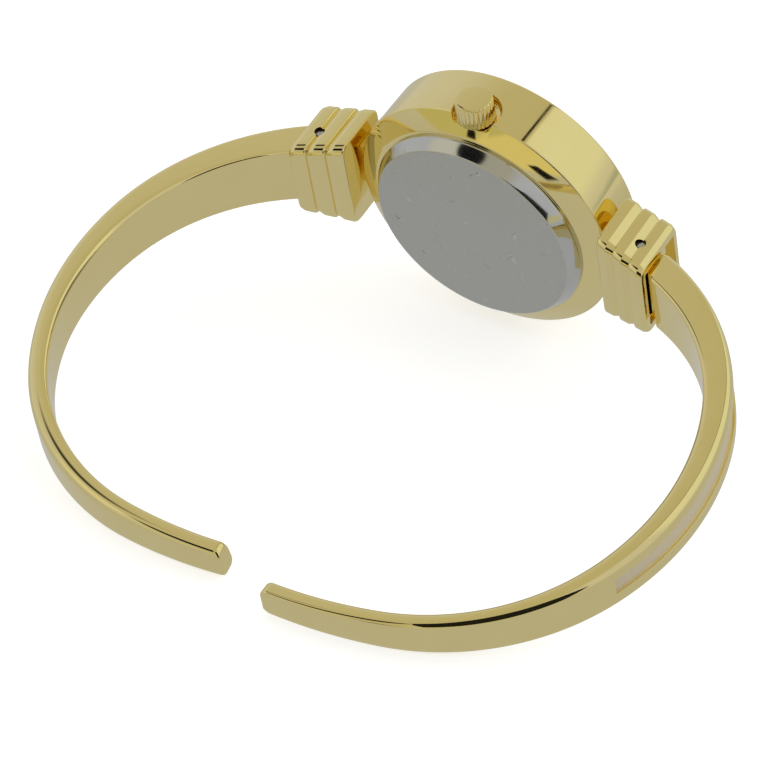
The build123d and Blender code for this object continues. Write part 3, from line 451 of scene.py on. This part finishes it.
def makeCrown():
    size = crownSize
    around = size["flutes"] * size["perFlute"]
    centreY = corner + caseSize["stemLevel"]

    def loopAt(radius, z, fluting):
        # wide round ridges with narrow grooves between them
        loop = []
        for k in range(around):
            turn = 2 * math.pi * k / around
            ridge = abs(math.sin(turn * size["flutes"] / 2)) ** size["fluteShape"]
            r = radius - size["fluteDepth"] * fluting * (1 - ridge)
            loop.append((r * math.cos(turn), centreY + r * math.sin(turn), z))
        return loop

    # cup underneath, then the fluted side, the softened edge and the slightly domed face
    r, low, high, edge = size["radius"], size["start"], size["end"], size["edge"]
    top, dome, cup = size["faceRadius"], size["faceDome"], size["cupRadius"]
    stations = [(0.02, low + size["cupDepth"], 0), (cup, low + size["cupDepth"], 0),
                (cup, low + 0.06, 0), (cup + 0.05, low, 0), (r - 0.2, low, 0),
                (r - 0.06, low + 0.03, 0.5), (r, low + 0.12, 1),
                (top + 0.02, high - edge - 0.12, 1), (top, high - edge, 0.8),
                (top - 0.03, high - dome - 0.07, 0.4), (top - 0.08, high - dome - 0.025, 0.1),
                (top - 0.15, high - dome, 0)]
    stations += [(radius, high - share * dome, 0) for radius, share in size["doming"]]
    stations.append((0.02, high, 0))
    crown = newPiece("crown_knob", *skinned([loopAt(*station) for station in stations]),
                     "crown_group", "gold_plate", [gold], size["sharpAngle"])
    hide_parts("crown")


makeCrown()
print("crown made")

blockSize = {
    "start": 13.25, "long": 5.24, "innerRoot": -2.4, "innerTip": -3.8, "outerRoot": 3.95,
    "outerTip": 3.1, "halfRoot": 5.05, "halfTip": 4.25, "corners": (1.2, 1.15, 1.15, 1.2),
    "cornerFollow": 0.6, "sharpAngle": 14,
    "ribs": 3, "ribWidth": 1.6, "ribRise": 0.27, "stepWidth": 0.24, "crownWidth": 0.84,
    "facetDrop": 0.25, "endRound": 0.14,
    "mouthDepth": 0.5, "mouthHalf": 3.3, "mouthWall": 0.75, "mouthRound": 0.25,
    "pinX": 16.85, "pinLevel": -0.55, "pinRadius": 0.46, "pinHalf": 4.1, "sinkRadius": 0.5,
    "tongueHalf": 1.2, "tongueHalfWidth": 2.85, "tongueReach": 3.6, "gap": 0.05,
    "running": 0.04, "closedAngle": -23.0, "travel": 12.0,
    "sinkFrom": 3, "holeHalf": 7, "holeSegments": 40,
    "tenonLevels": (0.9, 3.1), "tenonHalf": 2.4, "tenonReach": (12.05, 13.6),
    "tenonRound": 0.1,
}


def ribProfile():
    # places along the block with the depth of the surface under the rib crowns: each rib has a
    # rounded step on the case side, a flat crown and a slanted facet towards the arm
    size = blockSize
    pitch = (size["long"] - size["ribWidth"]) / (size["ribs"] - 1)
    deep, wide = size["ribRise"], size["stepWidth"]
    profile = []
    for rib in range(size["ribs"]):
        start = size["start"] + rib * pitch
        last = rib == size["ribs"] - 1
        end = size["start"] + size["long"] - size["endRound"] if last else start + pitch
        for step in range(9):
            turn = math.pi / 2 * step / 8
            profile.append((start + wide * (1 - math.cos(turn)), deep * (1 - math.sin(turn))))
        crownEnd = start + wide + size["crownWidth"]
        slope = size["facetDrop"] / (start + pitch - crownEnd)
        profile.append((crownEnd, 0))
        if not last:
            profile.append((end - 0.001, size["facetDrop"]))
            continue
        level = slope * (end - crownEnd)
        profile.append((end, level))
        for step in range(1, 7):
            turn = math.pi / 2 * step / 6
            profile.append((end + size["endRound"] * math.sin(turn),
                            level + slope * size["endRound"] * math.sin(turn)
                            + size["endRound"] * (1 - math.cos(turn))))
    return profile


def blockEdges(share):
    # wrist side, dial side and half width of the block at this share of its length
    size = blockSize
    inner = corner + size["innerRoot"] + (size["innerTip"] - size["innerRoot"]) * share
    outer = corner + size["outerRoot"] + (size["outerTip"] - size["outerRoot"]) * share
    half = size["halfRoot"] + (size["halfTip"] - size["halfRoot"]) * share
    return inner, outer, half


def swingWedge(pinY):
    # the room that the tongue needs from closed to open, seen along the pin
    size = blockSize
    reach, pinX = size["tongueHalf"] + size["gap"], size["pinX"]
    wedge = []
    for angle, face in ((size["closedAngle"], -1), (size["closedAngle"] + size["travel"], 1)):
        turn = math.radians(angle)
        near = (pinX - face * math.sin(turn) * reach, pinY + face * math.cos(turn) * reach)
        far = (near[0] + size["tongueReach"] * math.cos(turn),
               near[1] + size["tongueReach"] * math.sin(turn))
        wedge += [near, far] if face < 0 else [far, near]
    startTurn = math.atan2(wedge[-1][1] - pinY, wedge[-1][0] - pinX)
    endTurn = math.atan2(wedge[0][1] - pinY, wedge[0][0] - pinX) + 2 * math.pi
    for step in range(1, 16):
        turn = startTurn + (endTurn - startTurn) * step / 16
        wedge.append((pinX + reach * math.cos(turn), pinY + reach * math.sin(turn)))
    return wedge


def roundedBar(side, levels, half, places, rounding, steps):
    # loops of a bar along X with rounded long edges
    low, high = levels
    outline = softened([(low, -half), (high, -half), (high, half), (low, half)], rounding, steps,
                       closed=True)
    return [[(side * x, y, z) for y, z in outline] for x in places]


def makeBlock(side, name, node):
    size = blockSize
    loops = []
    for x, inset in ribProfile():
        inner, outer, half = blockEdges((x - size["start"]) / size["long"])
        inner, outer, half = inner + inset, outer - inset, half - inset
        outline = softened([(inner, -half), (outer, -half), (outer, half), (inner, half)],
                           [r - size["cornerFollow"] * inset for r in size["corners"]], 9,
                           closed=True)
        loops.append([(side * x, y, z) for y, z in outline])
    # its second finish is the dark hole-wall brass, partly tarnish and partly painted shade
    block = newPiece(name, *skinned(loops), "watch_head", "gold_plate", [gold, tarnishAndPaintedShade],
                     size["sharpAngle"])

    # mouth at the arm end, the wedge that the tongue swings in, and the pin hole with its sinks
    end = size["start"] + size["long"]
    inner = blockEdges((size["long"] - size["mouthDepth"]) / size["long"])[0]
    levels = (inner + size["mouthWall"], corner + size["outerTip"] - size["mouthWall"])
    mouthLoops = roundedBar(side, levels, size["mouthHalf"], (end - size["mouthDepth"], end + 1),
                            size["mouthRound"], 4)
    pinX, pinY = side * size["pinX"], corner + size["pinLevel"]
    halfPocket = size["tongueHalfWidth"] + size["gap"]
    wedgeLoops = [[(side * x, y, z) for x, y in swingWedge(pinY)]
                  for z in (-halfPocket, halfPocket)]
    sink, pin, pinHalf, ends = (size[k] for k in ("sinkRadius", "pinRadius", "pinHalf", "holeHalf"))
    hole = discLoops([(sink, -ends), (sink, -pinHalf), (pin, -pinHalf), (pin, pinHalf),
                      (sink, pinHalf), (sink, ends)], pinX, pinY, size["holeSegments"])
    carve(block, [("DIFFERENCE", newMesh("cutter", *skinned(tool)))
                  for tool in (mouthLoops, wedgeLoops, hole)], size["sharpAngle"])

    # the walls of the sinks, outside the tongue's pocket, are bare brass, darkened further with
    # painted shade
    for face in block.data.polygons:
        away = math.hypot(face.center.x - pinX * mm, face.center.y - pinY * mm)
        outside = abs(face.center.z) > size["sinkFrom"] * mm
        if outside and away < (sink + 0.02) * mm and abs(face.normal.z) < 0.5:
            face.material_index = 1
    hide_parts(node)

    # tenon into the case band
    tenonLoops = roundedBar(side, [corner + level for level in size["tenonLevels"]],
                            size["tenonHalf"], size["tenonReach"], size["tenonRound"], 3)
    newPiece(name + "_tenon", *skinned(tenonLoops), "watch_head", "gold_plate", [gold])


makeBlock(1, "block_twelve", "right_block")
makeBlock(-1, "block_six", "left_block")

# the domed half of each pin as (radius, place from the middle), mirrored for the other half
pinSize = {"dome": [(0.02, 4.18), (0.34, 4.16), (0.43, 4.08), (0.46, 4.0)], "segments": 40}
for side, node in ((1, "right_hinge_pin"), (-1, "left_hinge_pin")):
    pinProfile = [(r, -z) for r, z in pinSize["dome"]] + pinSize["dome"][::-1]
    loops = discLoops(pinProfile, side * blockSize["pinX"], corner + blockSize["pinLevel"],
                      pinSize["segments"])
    pin = newPiece(node.replace("hinge_pin", "arm_pin"), *skinned(loops), "watch_head",
                   "steel", [steel])
    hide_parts(node)
print("end blocks and pins made")

# Shares run from 0 at the root to 1 at the tip of an arm, along its wrist side.
armSize = {
    "rootX": 17.65, "rootLevel": -2.38, "heading": -25.2, "backShare": -0.025,
    "radii": (19.8, 24.2, 20.8, 43.2), "sweeps": (51.7, 42.8, 54.0, 13.8),
    "halfRoot": 3.29, "halfTip": 1.54, "thickRoot": 3.38, "thickTip": 1.5, "thinning": 2.5,
    "swell": 0.16, "swellAt": 0.3, "swellWide": 0.22, "rootFade": 0.45, "rootEase": 1.5,
    "wristRound": 0.34, "wristSofter": 0.36, "wristFrom": 0.05, "wristOver": 0.25,
    "outerRound": 1.1, "outerFull": 0.5, "farRound": 0.5, "sharpening": 0.6, "leastFlat": 0.06,
    "channelFrom": 0.1, "channelTo": 0.545, "channelDepth": 0.32, "channelRim": 1.45,
    "rimShare": 0.6, "rimSide": 0.75, "rimEdge": 0.08, "floorEdge": 0.04, "draft": 0.05,
    "tipRound": 0.7, "endRound": 0.12, "tipSteps": 12, "endSteps": 4,
    "fullerFrom": 0.45, "fullerOver": 0.25, "skewOver": 3, "longerOver": 8,
    "stations": 180, "arcSteps": 9, "sharpAngle": 24, "openAtRest": 7.3,
    "shoulder": ((10, 12), (18.85, 34)), "shoulderHalf": 6, "tongueSteps": 24,
}


def armLength():
    return sum(r * math.radians(s) for r, s in zip(armSize["radii"], armSize["sweeps"]))


def armStation(share):
    # point and heading on the wrist-side curve
    left = share * armLength()
    x, y = armSize["rootX"], corner + armSize["rootLevel"]
    heading = math.radians(armSize["heading"])
    for radius, sweep in zip(armSize["radii"], armSize["sweeps"]):
        step = min(left, radius * math.radians(sweep))
        end = heading - step / radius
        x += radius * (math.sin(heading) - math.sin(end))
        y += radius * (math.cos(end) - math.cos(heading))
        heading = end
        left -= step
        if left <= 0:
            break
    return x, y, heading


def ramp(share, start, over):
    # 0 up to start, 1 from start + over
    return min(1, max(0, share - start) / over)


def roundedOff(radius, distance):
    # how far a round end has come in at this distance from it
    return radius - math.sqrt(radius ** 2 - (radius - distance) ** 2) if distance < radius else 0


def armLoop(share, channelDepth, shape):
    size = armSize
    x, y, heading = armStation(share)
    along = max(share, 0)
    # a little fuller on the wrist side, and set in towards the wrist at the root
    swell = size["swell"] * math.exp(-((share - size["swellAt"]) / size["swellWide"]) ** 2)
    swell += shape["tipFuller"] * ramp(share, size["fullerFrom"], size["fullerOver"])
    inward = shape["rootShift"] * max(0, 1 - along / size["rootFade"]) ** size["rootEase"]
    taper = (1 - along) ** size["thinning"]
    thick = size["thickTip"] + (size["thickRoot"] - size["thickTip"]) * taper
    half = size["halfRoot"] + (size["halfTip"] - size["halfRoot"]) * share
    toTip = (1 - share) * armLength()
    lean = shape["skew"] * max(0, 1 - toTip / size["skewOver"]) / half
    onward = shape["longer"] * max(0, 1 - toTip / size["longerOver"])
    shrink = roundedOff(size["endRound"], toTip)
    half -= roundedOff(size["tipRound"], toTip) + shrink

    inner, outer = shrink - swell - inward, thick - shrink - inward
    low = outer - channelDepth
    narrow = 0 if channelDepth else size["draft"]
    rimAt = min(size["channelRim"], half * size["rimShare"])
    late = max(0, share - size["sharpening"]) / (1 - size["sharpening"])
    early = shape["outerRoundRoot"]
    early += (size["outerRound"] - early) * min(1, along / size["outerFull"])
    wrist = size["wristRound"] + size["wristSofter"] * ramp(share, size["wristFrom"],
                                                            size["wristOver"])
    deep = min(early + (shape["outerRoundTip"] - early) * late,
               outer - inner - wrist - size["leastFlat"])
    across = min(deep - 0.001, rimAt * size["rimSide"])
    corners = [(inner, -half), (inner, half), (outer, half), (outer, half - rimAt),
               (low, half - rimAt - narrow), (low, rimAt + narrow - half),
               (outer, rimAt - half), (outer, -half)]
    rim, floor = size["rimEdge"], size["floorEdge"]
    radii = [wrist, wrist, (deep, across), rim, floor, floor, rim, size["farRound"]]
    outX, outY = -math.sin(heading), math.cos(heading)
    onX, onY = math.cos(heading), math.sin(heading)
    loop = []
    for out, across in softened(corners, radii, size["arcSteps"], closed=True):
        on = lean * across + onward
        loop.append((x + out * outX + on * onX, y + out * outY + on * onY, across))
    return loop


def armStations():
    # shares of the arm length with the channel depth there, closer together at the rounded tip
    size = armSize
    count, long = size["stations"], armLength()
    spread = [size["backShare"] + (1 - size["backShare"]) * i / count for i in range(count)]
    spread = [s for s in spread if (1 - s) * long > size["tipRound"]]
    for radius, steps, last in ((size["tipRound"], size["tipSteps"], 1),
                                (size["endRound"], size["endSteps"], 0)):
        spread += [1 - radius * (1 - math.sin(math.pi / 2 * i / steps)) / long
                   for i in range(steps + last)]
    start, end, deep = size["channelFrom"], size["channelTo"], size["channelDepth"]
    stations = [(s, deep if start < s < end else 0) for s in spread]
    for share, way in ((start, 1), (end, -1)):
        stations += [(share - way * 1e-6, 0), (share + way * 1e-6, deep)]
    return sorted(stations)


def makeArm(name, node, body, mirrored, openAngle, shape):
    size = armSize
    stations = armStations()
    loops = [armLoop(share, depth, shape) for share, depth in stations]
    points, faces = skinned(loops)
    around = len(loops[0])
    floorEnd = 5 * (size["arcSteps"] + 1)          # the floor lies before the sixth corner's arc
    looks = [0] * len(faces)
    for i in range(len(loops) - 1):
        if stations[i][1] and stations[i + 1][1]:
            for k in (floorEnd - 1, floorEnd):
                looks[i * around + k] = 1
    arm = newPiece(name, points, faces, body, "gold_plate", [gold, channelGold],
                   size["sharpAngle"], looks)

    # flat shoulder beside the block, then the tongue round the pin with its bore
    block = blockSize
    pinX, pinY = block["pinX"], corner + block["pinLevel"]
    turn = math.radians(block["closedAngle"])
    reach, wide, high = block["tongueHalf"], block["tongueHalfWidth"], size["shoulderHalf"]
    outline = []
    for step in range(size["tongueSteps"] + 1):
        roundPin = turn + math.pi / 2 + math.pi * step / size["tongueSteps"]
        outline.append((pinX + reach * math.cos(roundPin), pinY + reach * math.sin(roundPin)))
    onX, onY, far = math.cos(turn), math.sin(turn), block["tongueReach"]
    for way in (1, -1):
        outline.append((pinX + far * onX + way * reach * onY,
                        pinY + far * onY - way * reach * onX))
    tongueLoops = [[(x, y, z) for x, y in outline] for z in (-wide, wide)]
    (left, low), (right, top) = size["shoulder"]
    shoulder = [[(left, low, z), (right, low, z), (right, top, z), (left, top, z)]
                for z in (-high, high)]
    bore = discLoops([(block["pinRadius"] + block["running"], z) for z in (-high, high)],
                     pinX, pinY, block["holeSegments"])
    carve(arm, [("DIFFERENCE", newMesh("shoulder", *skinned(shoulder))),
                ("UNION", newMesh("tongue", *skinned(tongueLoops))),
                ("DIFFERENCE", newMesh("bore", *skinned(bore)))], size["sharpAngle"])
    pinPlace = Vector((pinX, pinY, 0)) * mm
    opened = Matrix.Rotation(math.radians(openAngle), 4, "Z")
    arm.data.transform(Matrix.Translation(pinPlace) @ opened @ Matrix.Translation(-pinPlace))
    if mirrored:
        arm.data.transform(Matrix.Scale(-1, 4, (1, 0, 0)))
        arm.data.flip_normals()
    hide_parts(node)


# the two castings were finished by hand: their tips and roots differ by tenths of a millimetre
makeArm("cuff_arm_twelve", "right_arm", "right_arm_group", False, armSize["openAtRest"],
        {"skew": 0, "rootShift": 0.33, "longer": 0.35, "tipFuller": 0,
         "outerRoundRoot": 1.1, "outerRoundTip": 0.25})
makeArm("cuff_arm_six", "left_arm", "left_arm_group", True, 0,
        {"skew": -0.22, "rootShift": 0.05, "longer": -0.4, "tipFuller": 0.18,
         "outerRoundRoot": 0.4, "outerRoundTip": 0.75})
print("arms made")

photoView = {"place": (161.5, -193.99, 284.72), "right": (0.8501, 0.5119, -0.1236),
             "down": (0.3192, -0.6875, -0.6523), "forward": (-0.4189, 0.5151, -0.7478),
             "lens": 202.07, "sensor": 36, "clip": (0.01, 20)}
cameraData = bpy.data.cameras.new("photo camera")
cameraData.sensor_width = photoView["sensor"]
cameraData.lens = photoView["lens"]
cameraData.clip_start, cameraData.clip_end = photoView["clip"]
camera = bpy.data.objects.new("photo camera", cameraData)
bpy.context.scene.collection.objects.link(camera)
right, down, forward = (Vector(photoView[k]) for k in ("right", "down", "forward"))
turn = Matrix((right, -down, -forward)).transposed().to_4x4()
camera.matrix_world = Matrix.Translation(Vector(photoView["place"]) * mm) @ turn
bpy.context.scene.camera = camera

# Studio: a white paper sweep, pale walls, a softbox on the 12 o'clock side, and the wooden
# bench and dark flags in front of the paper, which only the mirror-bright metal picks up.
# Places on the floor are in its own plane, in mm from under the back of the case.
dark = (0.01, 0.01, 0.01, 1)
studio = {
    "roomLevel": 0.72,
    "floorPoint": (0, 23.5, -13.05), "floorNormal": (0, 0.2403, 0.9707), "floorRadius": 900,
    "paper": "DADAD8", "paperFibre": "DCDCDA", "fibre": 2.0, "paperShown": 0.6,
    "paperMirrored": (0.72, 0.72, 0.71, 1), "paperFar": (0.86, 0.86, 0.85, 1),
    "paperFarFrom": (70, 260),
    "bench": (0.96, 0.87, 0.45, 1), "benchFrom": (-74, -66),
    "benchFar": (0.72, 0.68, 0.35, 1), "benchFarFrom": (-45, -33),
    "flags": [{"middle": (13.7, -72), "turn": 68.0, "half": (12.5, 3.5)},
              {"middle": (-46, -112), "turn": -24.0, "half": (4, 15)}],
    "flagEdge": (0.85, 1.15),
    "wallsShown": 1.0, "wallsLight": 0.75, "walls": (0.87, 0.87, 0.87, 1),
    # turns are degrees round the case axis, from the crown's side towards 12 o'clock
    "wallsAbove": (0.735, 0.695, 0.51, 1), "aboveTurn": ((-75, -10), (20, 40)),
    "softbox": (1.06, 1.08, 0.95, 1), "softboxTurn": ((19.5, 22.5), (74, 96)),
    "dialSide": (0.2, 0.34),
    # frame along the softbox's edge, then the pale skirting: middle, half width and colour
    "strips": [(17.7, 1.6, dark), (106, 11, (0.57, 0.63, 0.58, 1))],
    "stripCore": 0.4,
    # a lamp and two round flags near the camera: direction, full and gone in degrees, colour
    "spots": [((-0.68, -0.40, 0.62), 8, 20, (1.05, 1.0, 0.8, 1)),
              ((-0.29, -0.48, 0.83), 11, 15, dark),
              ((-0.54, 0.20, 0.81), 3, 10, (0.06, 0.06, 0.05, 1))],
    # black card beside the camera, square to the view: middle, and corners right and up from it
    "card": {"middle": (41.6, -40.4, 33.2), "colour": "0A0A0A", "nap": "0E0E0E",
             "corners": [(-25, 24), (-2, 26), (14, 17), (26, 7), (40, -6), (46, -12),
                         (46, -75), (-22, -75)]},
}


def makeFloor():
    normal = Vector(studio["floorNormal"]).normalized()
    bpy.ops.mesh.primitive_circle_add(vertices=96, radius=studio["floorRadius"] * mm,
                                      fill_type="NGON")
    floor = bpy.context.object
    floor.name = "floor"
    floor.rotation_mode = "QUATERNION"
    floor.rotation_quaternion = Vector((0, 0, 1)).rotation_difference(normal)
    floor.location = Vector(studio["floorPoint"]) * mm
    material = bpy.data.materials.new("white paper sweep")
    material.use_nodes = True
    tree = material.node_tree
    tree.nodes.clear()
    out = addNode(tree, "OutputMaterial")
    path = addNode(tree, "LightPath")
    place = addNode(tree, "TexCoord").outputs["Object"]
    fibre = addNode(tree, "TexNoise", {
        "Vector": place, "Scale": perMetre(studio["fibre"]), "Detail": 3.0})
    tone = addNode(tree, "Mix", {0: fibre.outputs["Fac"], 6: linear(studio["paper"]),
                                 7: linear(studio["paperFibre"])}, data_type="RGBA")
    paper = addNode(tree, "BsdfDiffuse", {"Color": tone.outputs[2]})
    shown = addNode(tree, "Math", {0: path.outputs["Is Camera Ray"], 1: studio["paperShown"]},
                    operation="MULTIPLY")
    glow = addNode(tree, "Emission", {"Color": (1, 1, 1, 1), "Strength": shown.outputs[0]})
    seen = addNode(tree, "AddShader", {0: paper.outputs[0], 1: glow.outputs[0]})

    # what the metal sees of the floor: paper, the bench beyond its edge, and two dark flags
    split = addNode(tree, "SeparateXYZ", {"Vector": place})
    overBench, leftward = (
        addNode(tree, "MapRange", {"Value": split.outputs[axis], "From Min": start * mm,
                                   "From Max": end * mm, "To Min": 1.0, "To Max": 0.0})
        for axis, (start, end) in (("Y", studio["benchFrom"]), ("X", studio["benchFarFrom"])))
    bench = addNode(tree, "Mix", {
        0: leftward.outputs["Result"], 6: studio["bench"], 7: studio["benchFar"]}, data_type="RGBA")
    away = addNode(tree, "VectorMath", {0: place}, operation="LENGTH")
    nearEnd, farEnd = studio["paperFarFrom"]
    outward = addNode(tree, "MapRange", {
        "Value": away.outputs["Value"], "From Min": nearEnd * mm, "From Max": farEnd * mm})
    sheet = addNode(tree, "Mix", {0: outward.outputs["Result"], 6: studio["paperMirrored"],
                                  7: studio["paperFar"]}, data_type="RGBA")
    mirrored = addNode(tree, "Mix", {0: overBench.outputs["Result"], 6: sheet.outputs[2],
                                     7: bench.outputs[2]}, data_type="RGBA").outputs[2]
    full, gone = studio["flagEdge"]
    for flag in studio["flags"]:
        local = addNode(tree, "Mapping", {
            "Vector": place, "Location": [c * mm for c in flag["middle"]] + [0],
            "Rotation": (0, 0, math.radians(flag["turn"]))}, vector_type="TEXTURE")
        axes = addNode(tree, "SeparateXYZ", {"Vector": local.outputs[0]})
        inside = []
        for axis, half in zip("XY", flag["half"]):
            away = addNode(tree, "Math", {0: axes.outputs[axis]}, operation="ABSOLUTE")
            inside.append(addNode(tree, "MapRange", {
                "Value": away.outputs[0], "From Min": half * full * mm,
                "From Max": half * gone * mm, "To Min": 1.0, "To Max": 0.0}))
        both = addNode(tree, "Math", {0: inside[0].outputs[0], 1: inside[1].outputs[0]},
                       operation="MULTIPLY")
        mirrored = addNode(tree, "Mix", {0: both.outputs[0], 6: mirrored, 7: dark},
                           data_type="RGBA").outputs[2]
    inMetal = addNode(tree, "Emission", {"Color": mirrored, "Strength": studio["roomLevel"]})
    upper = addNode(tree, "MixShader", {
        0: path.outputs["Is Glossy Ray"], 1: seen.outputs[0], 2: inMetal.outputs[0]})

    # from below the paper is clear, so that a low view still sees the watch
    clear = addNode(tree, "BsdfTransparent")
    under = addNode(tree, "NewGeometry").outputs["Backfacing"]
    mixed = addNode(tree, "MixShader", {0: under, 1: upper.outputs[0], 2: clear.outputs[0]})
    tree.links.new(mixed.outputs[0], out.inputs["Surface"])
    floor.data.materials.append(material)


def makeWalls():
    # white all round for the camera; the metal sees a plain room with the softbox in it
    world = bpy.data.worlds.new("white studio")
    bpy.context.scene.world = world
    world.use_nodes = True
    tree = world.node_tree
    tree.nodes.clear()
    out = addNode(tree, "OutputWorld")
    path = addNode(tree, "LightPath")
    toward = addNode(tree, "TexCoord").outputs["Generated"]
    split = addNode(tree, "SeparateXYZ", {"Vector": toward})
    across = addNode(tree, "Math", {0: split.outputs["X"], 1: split.outputs["Z"]},
                     operation="ARCTAN2")
    turn = addNode(tree, "Math", {0: across.outputs[0]}, operation="DEGREES").outputs[0]
    room = studio["walls"]
    dialSide = addNode(tree, "MapRange", {
        "Value": split.outputs["Y"], "From Min": studio["dialSide"][0],
        "From Max": studio["dialSide"][1]}, **eased).outputs["Result"]

    # a little darker and warmer overhead, and the softbox, which lies only on the dial's side
    for key, colour in (("aboveTurn", studio["wallsAbove"]), ("softboxTurn", studio["softbox"])):
        (start, full), (fade, end) = studio[key]
        rise = addNode(tree, "MapRange", {"Value": turn, "From Min": start, "From Max": full},
                       **eased)
        fall = addNode(tree, "MapRange", {"Value": turn, "From Min": fade, "From Max": end,
                                          "To Min": 1.0, "To Max": 0.0}, **eased)
        area = addNode(tree, "Math", {0: rise.outputs["Result"], 1: fall.outputs["Result"]},
                       operation="MULTIPLY")
        if key == "softboxTurn":
            area = addNode(tree, "Math", {0: area.outputs[0], 1: dialSide},
                           operation="MULTIPLY")
        room = addNode(tree, "Mix", {0: area.outputs[0], 6: room, 7: colour},
                       data_type="RGBA").outputs[2]
    for middle, half, colour in studio["strips"]:
        offStrip = addNode(tree, "Math", {0: turn, 1: middle}, operation="SUBTRACT")
        away = addNode(tree, "Math", {0: offStrip.outputs[0]}, operation="ABSOLUTE")
        strip = addNode(tree, "MapRange", {
            "Value": away.outputs[0], "From Min": half * studio["stripCore"],
            "From Max": half, "To Min": 1.0, "To Max": 0.0}, **eased)
        line = addNode(tree, "Math", {0: strip.outputs["Result"], 1: dialSide},
                       operation="MULTIPLY")
        room = addNode(tree, "Mix", {0: line.outputs[0], 6: room, 7: colour},
                       data_type="RGBA").outputs[2]
    for facing, full, gone, colour in studio["spots"]:
        along = addNode(tree, "VectorMath", {0: toward, 1: Vector(facing).normalized()},
                        operation="DOT_PRODUCT")
        spot = addNode(tree, "MapRange", {
            "Value": along.outputs["Value"], "From Min": math.cos(math.radians(gone)),
            "From Max": math.cos(math.radians(full))}, **eased)
        room = addNode(tree, "Mix", {0: spot.outputs["Result"], 6: room, 7: colour},
                       data_type="RGBA").outputs[2]

    seen = addNode(tree, "Math", {0: path.outputs["Is Camera Ray"],
                                  1: path.outputs["Is Transmission Ray"]}, operation="MAXIMUM")
    level = addNode(tree, "Mix", {
        0: seen.outputs[0], 2: studio["wallsLight"], 3: studio["wallsShown"]}, data_type="FLOAT")
    plain = addNode(tree, "Background", {"Color": (1, 1, 1, 1), "Strength": level.outputs[0]})
    inMetal = addNode(tree, "Background", {"Color": room, "Strength": studio["roomLevel"]})
    sky = addNode(tree, "MixShader", {
        0: path.outputs["Is Glossy Ray"], 1: plain.outputs[0], 2: inMetal.outputs[0]})
    tree.links.new(sky.outputs[0], out.inputs["Surface"])


def makeCard():
    # black felt that only reflections see
    card = studio["card"]
    middle = Vector(card["middle"])
    points = [list(middle + along * right - up * down) for along, up in card["corners"]]
    sheet = newMesh("black card", points, [list(range(len(points)))])
    material, tree, shader, place = newMaterial("black felt", Roughness=0.9)
    nap = addNode(tree, "TexNoise", {"Vector": place, "Scale": perMetre(1.0)})
    tone = addNode(tree, "Mix", {
        0: nap.outputs["Fac"], 6: linear(card["colour"]), 7: linear(card["nap"])}, data_type="RGBA")
    feedShader(tree, shader, tone)
    sheet.data.materials.append(material)
    sheet.visible_camera = sheet.visible_diffuse = False
    sheet.visible_shadow = sheet.visible_transmission = False


makeFloor()
makeWalls()
makeCard()

lamp = {"facing": (0.68, 0.62, 0.35), "distance": 500, "size": 360, "power": 0.45}
lampData = bpy.data.lights.new("softbox", "AREA")
lampData.shape = "SQUARE"
lampData.size = lamp["size"] * mm
lampData.energy = lamp["power"]
softbox = bpy.data.objects.new("softbox", lampData)
bpy.context.scene.collection.objects.link(softbox)
toward = Vector(lamp["facing"]).normalized()
softbox.location = toward * lamp["distance"] * mm
softbox.rotation_mode = "QUATERNION"
softbox.rotation_quaternion = toward.to_track_quat("Z", "Y")
softbox.visible_glossy = False          # the walls already show it to the metal

bpy.context.scene.view_settings.view_transform = "Standard"
bpy.context.scene.cycles.max_bounces = 16
bpy.context.scene.cycles.glossy_bounces = 12       # gold facing gold in the gaps beside the case
print("camera, floor and light made")
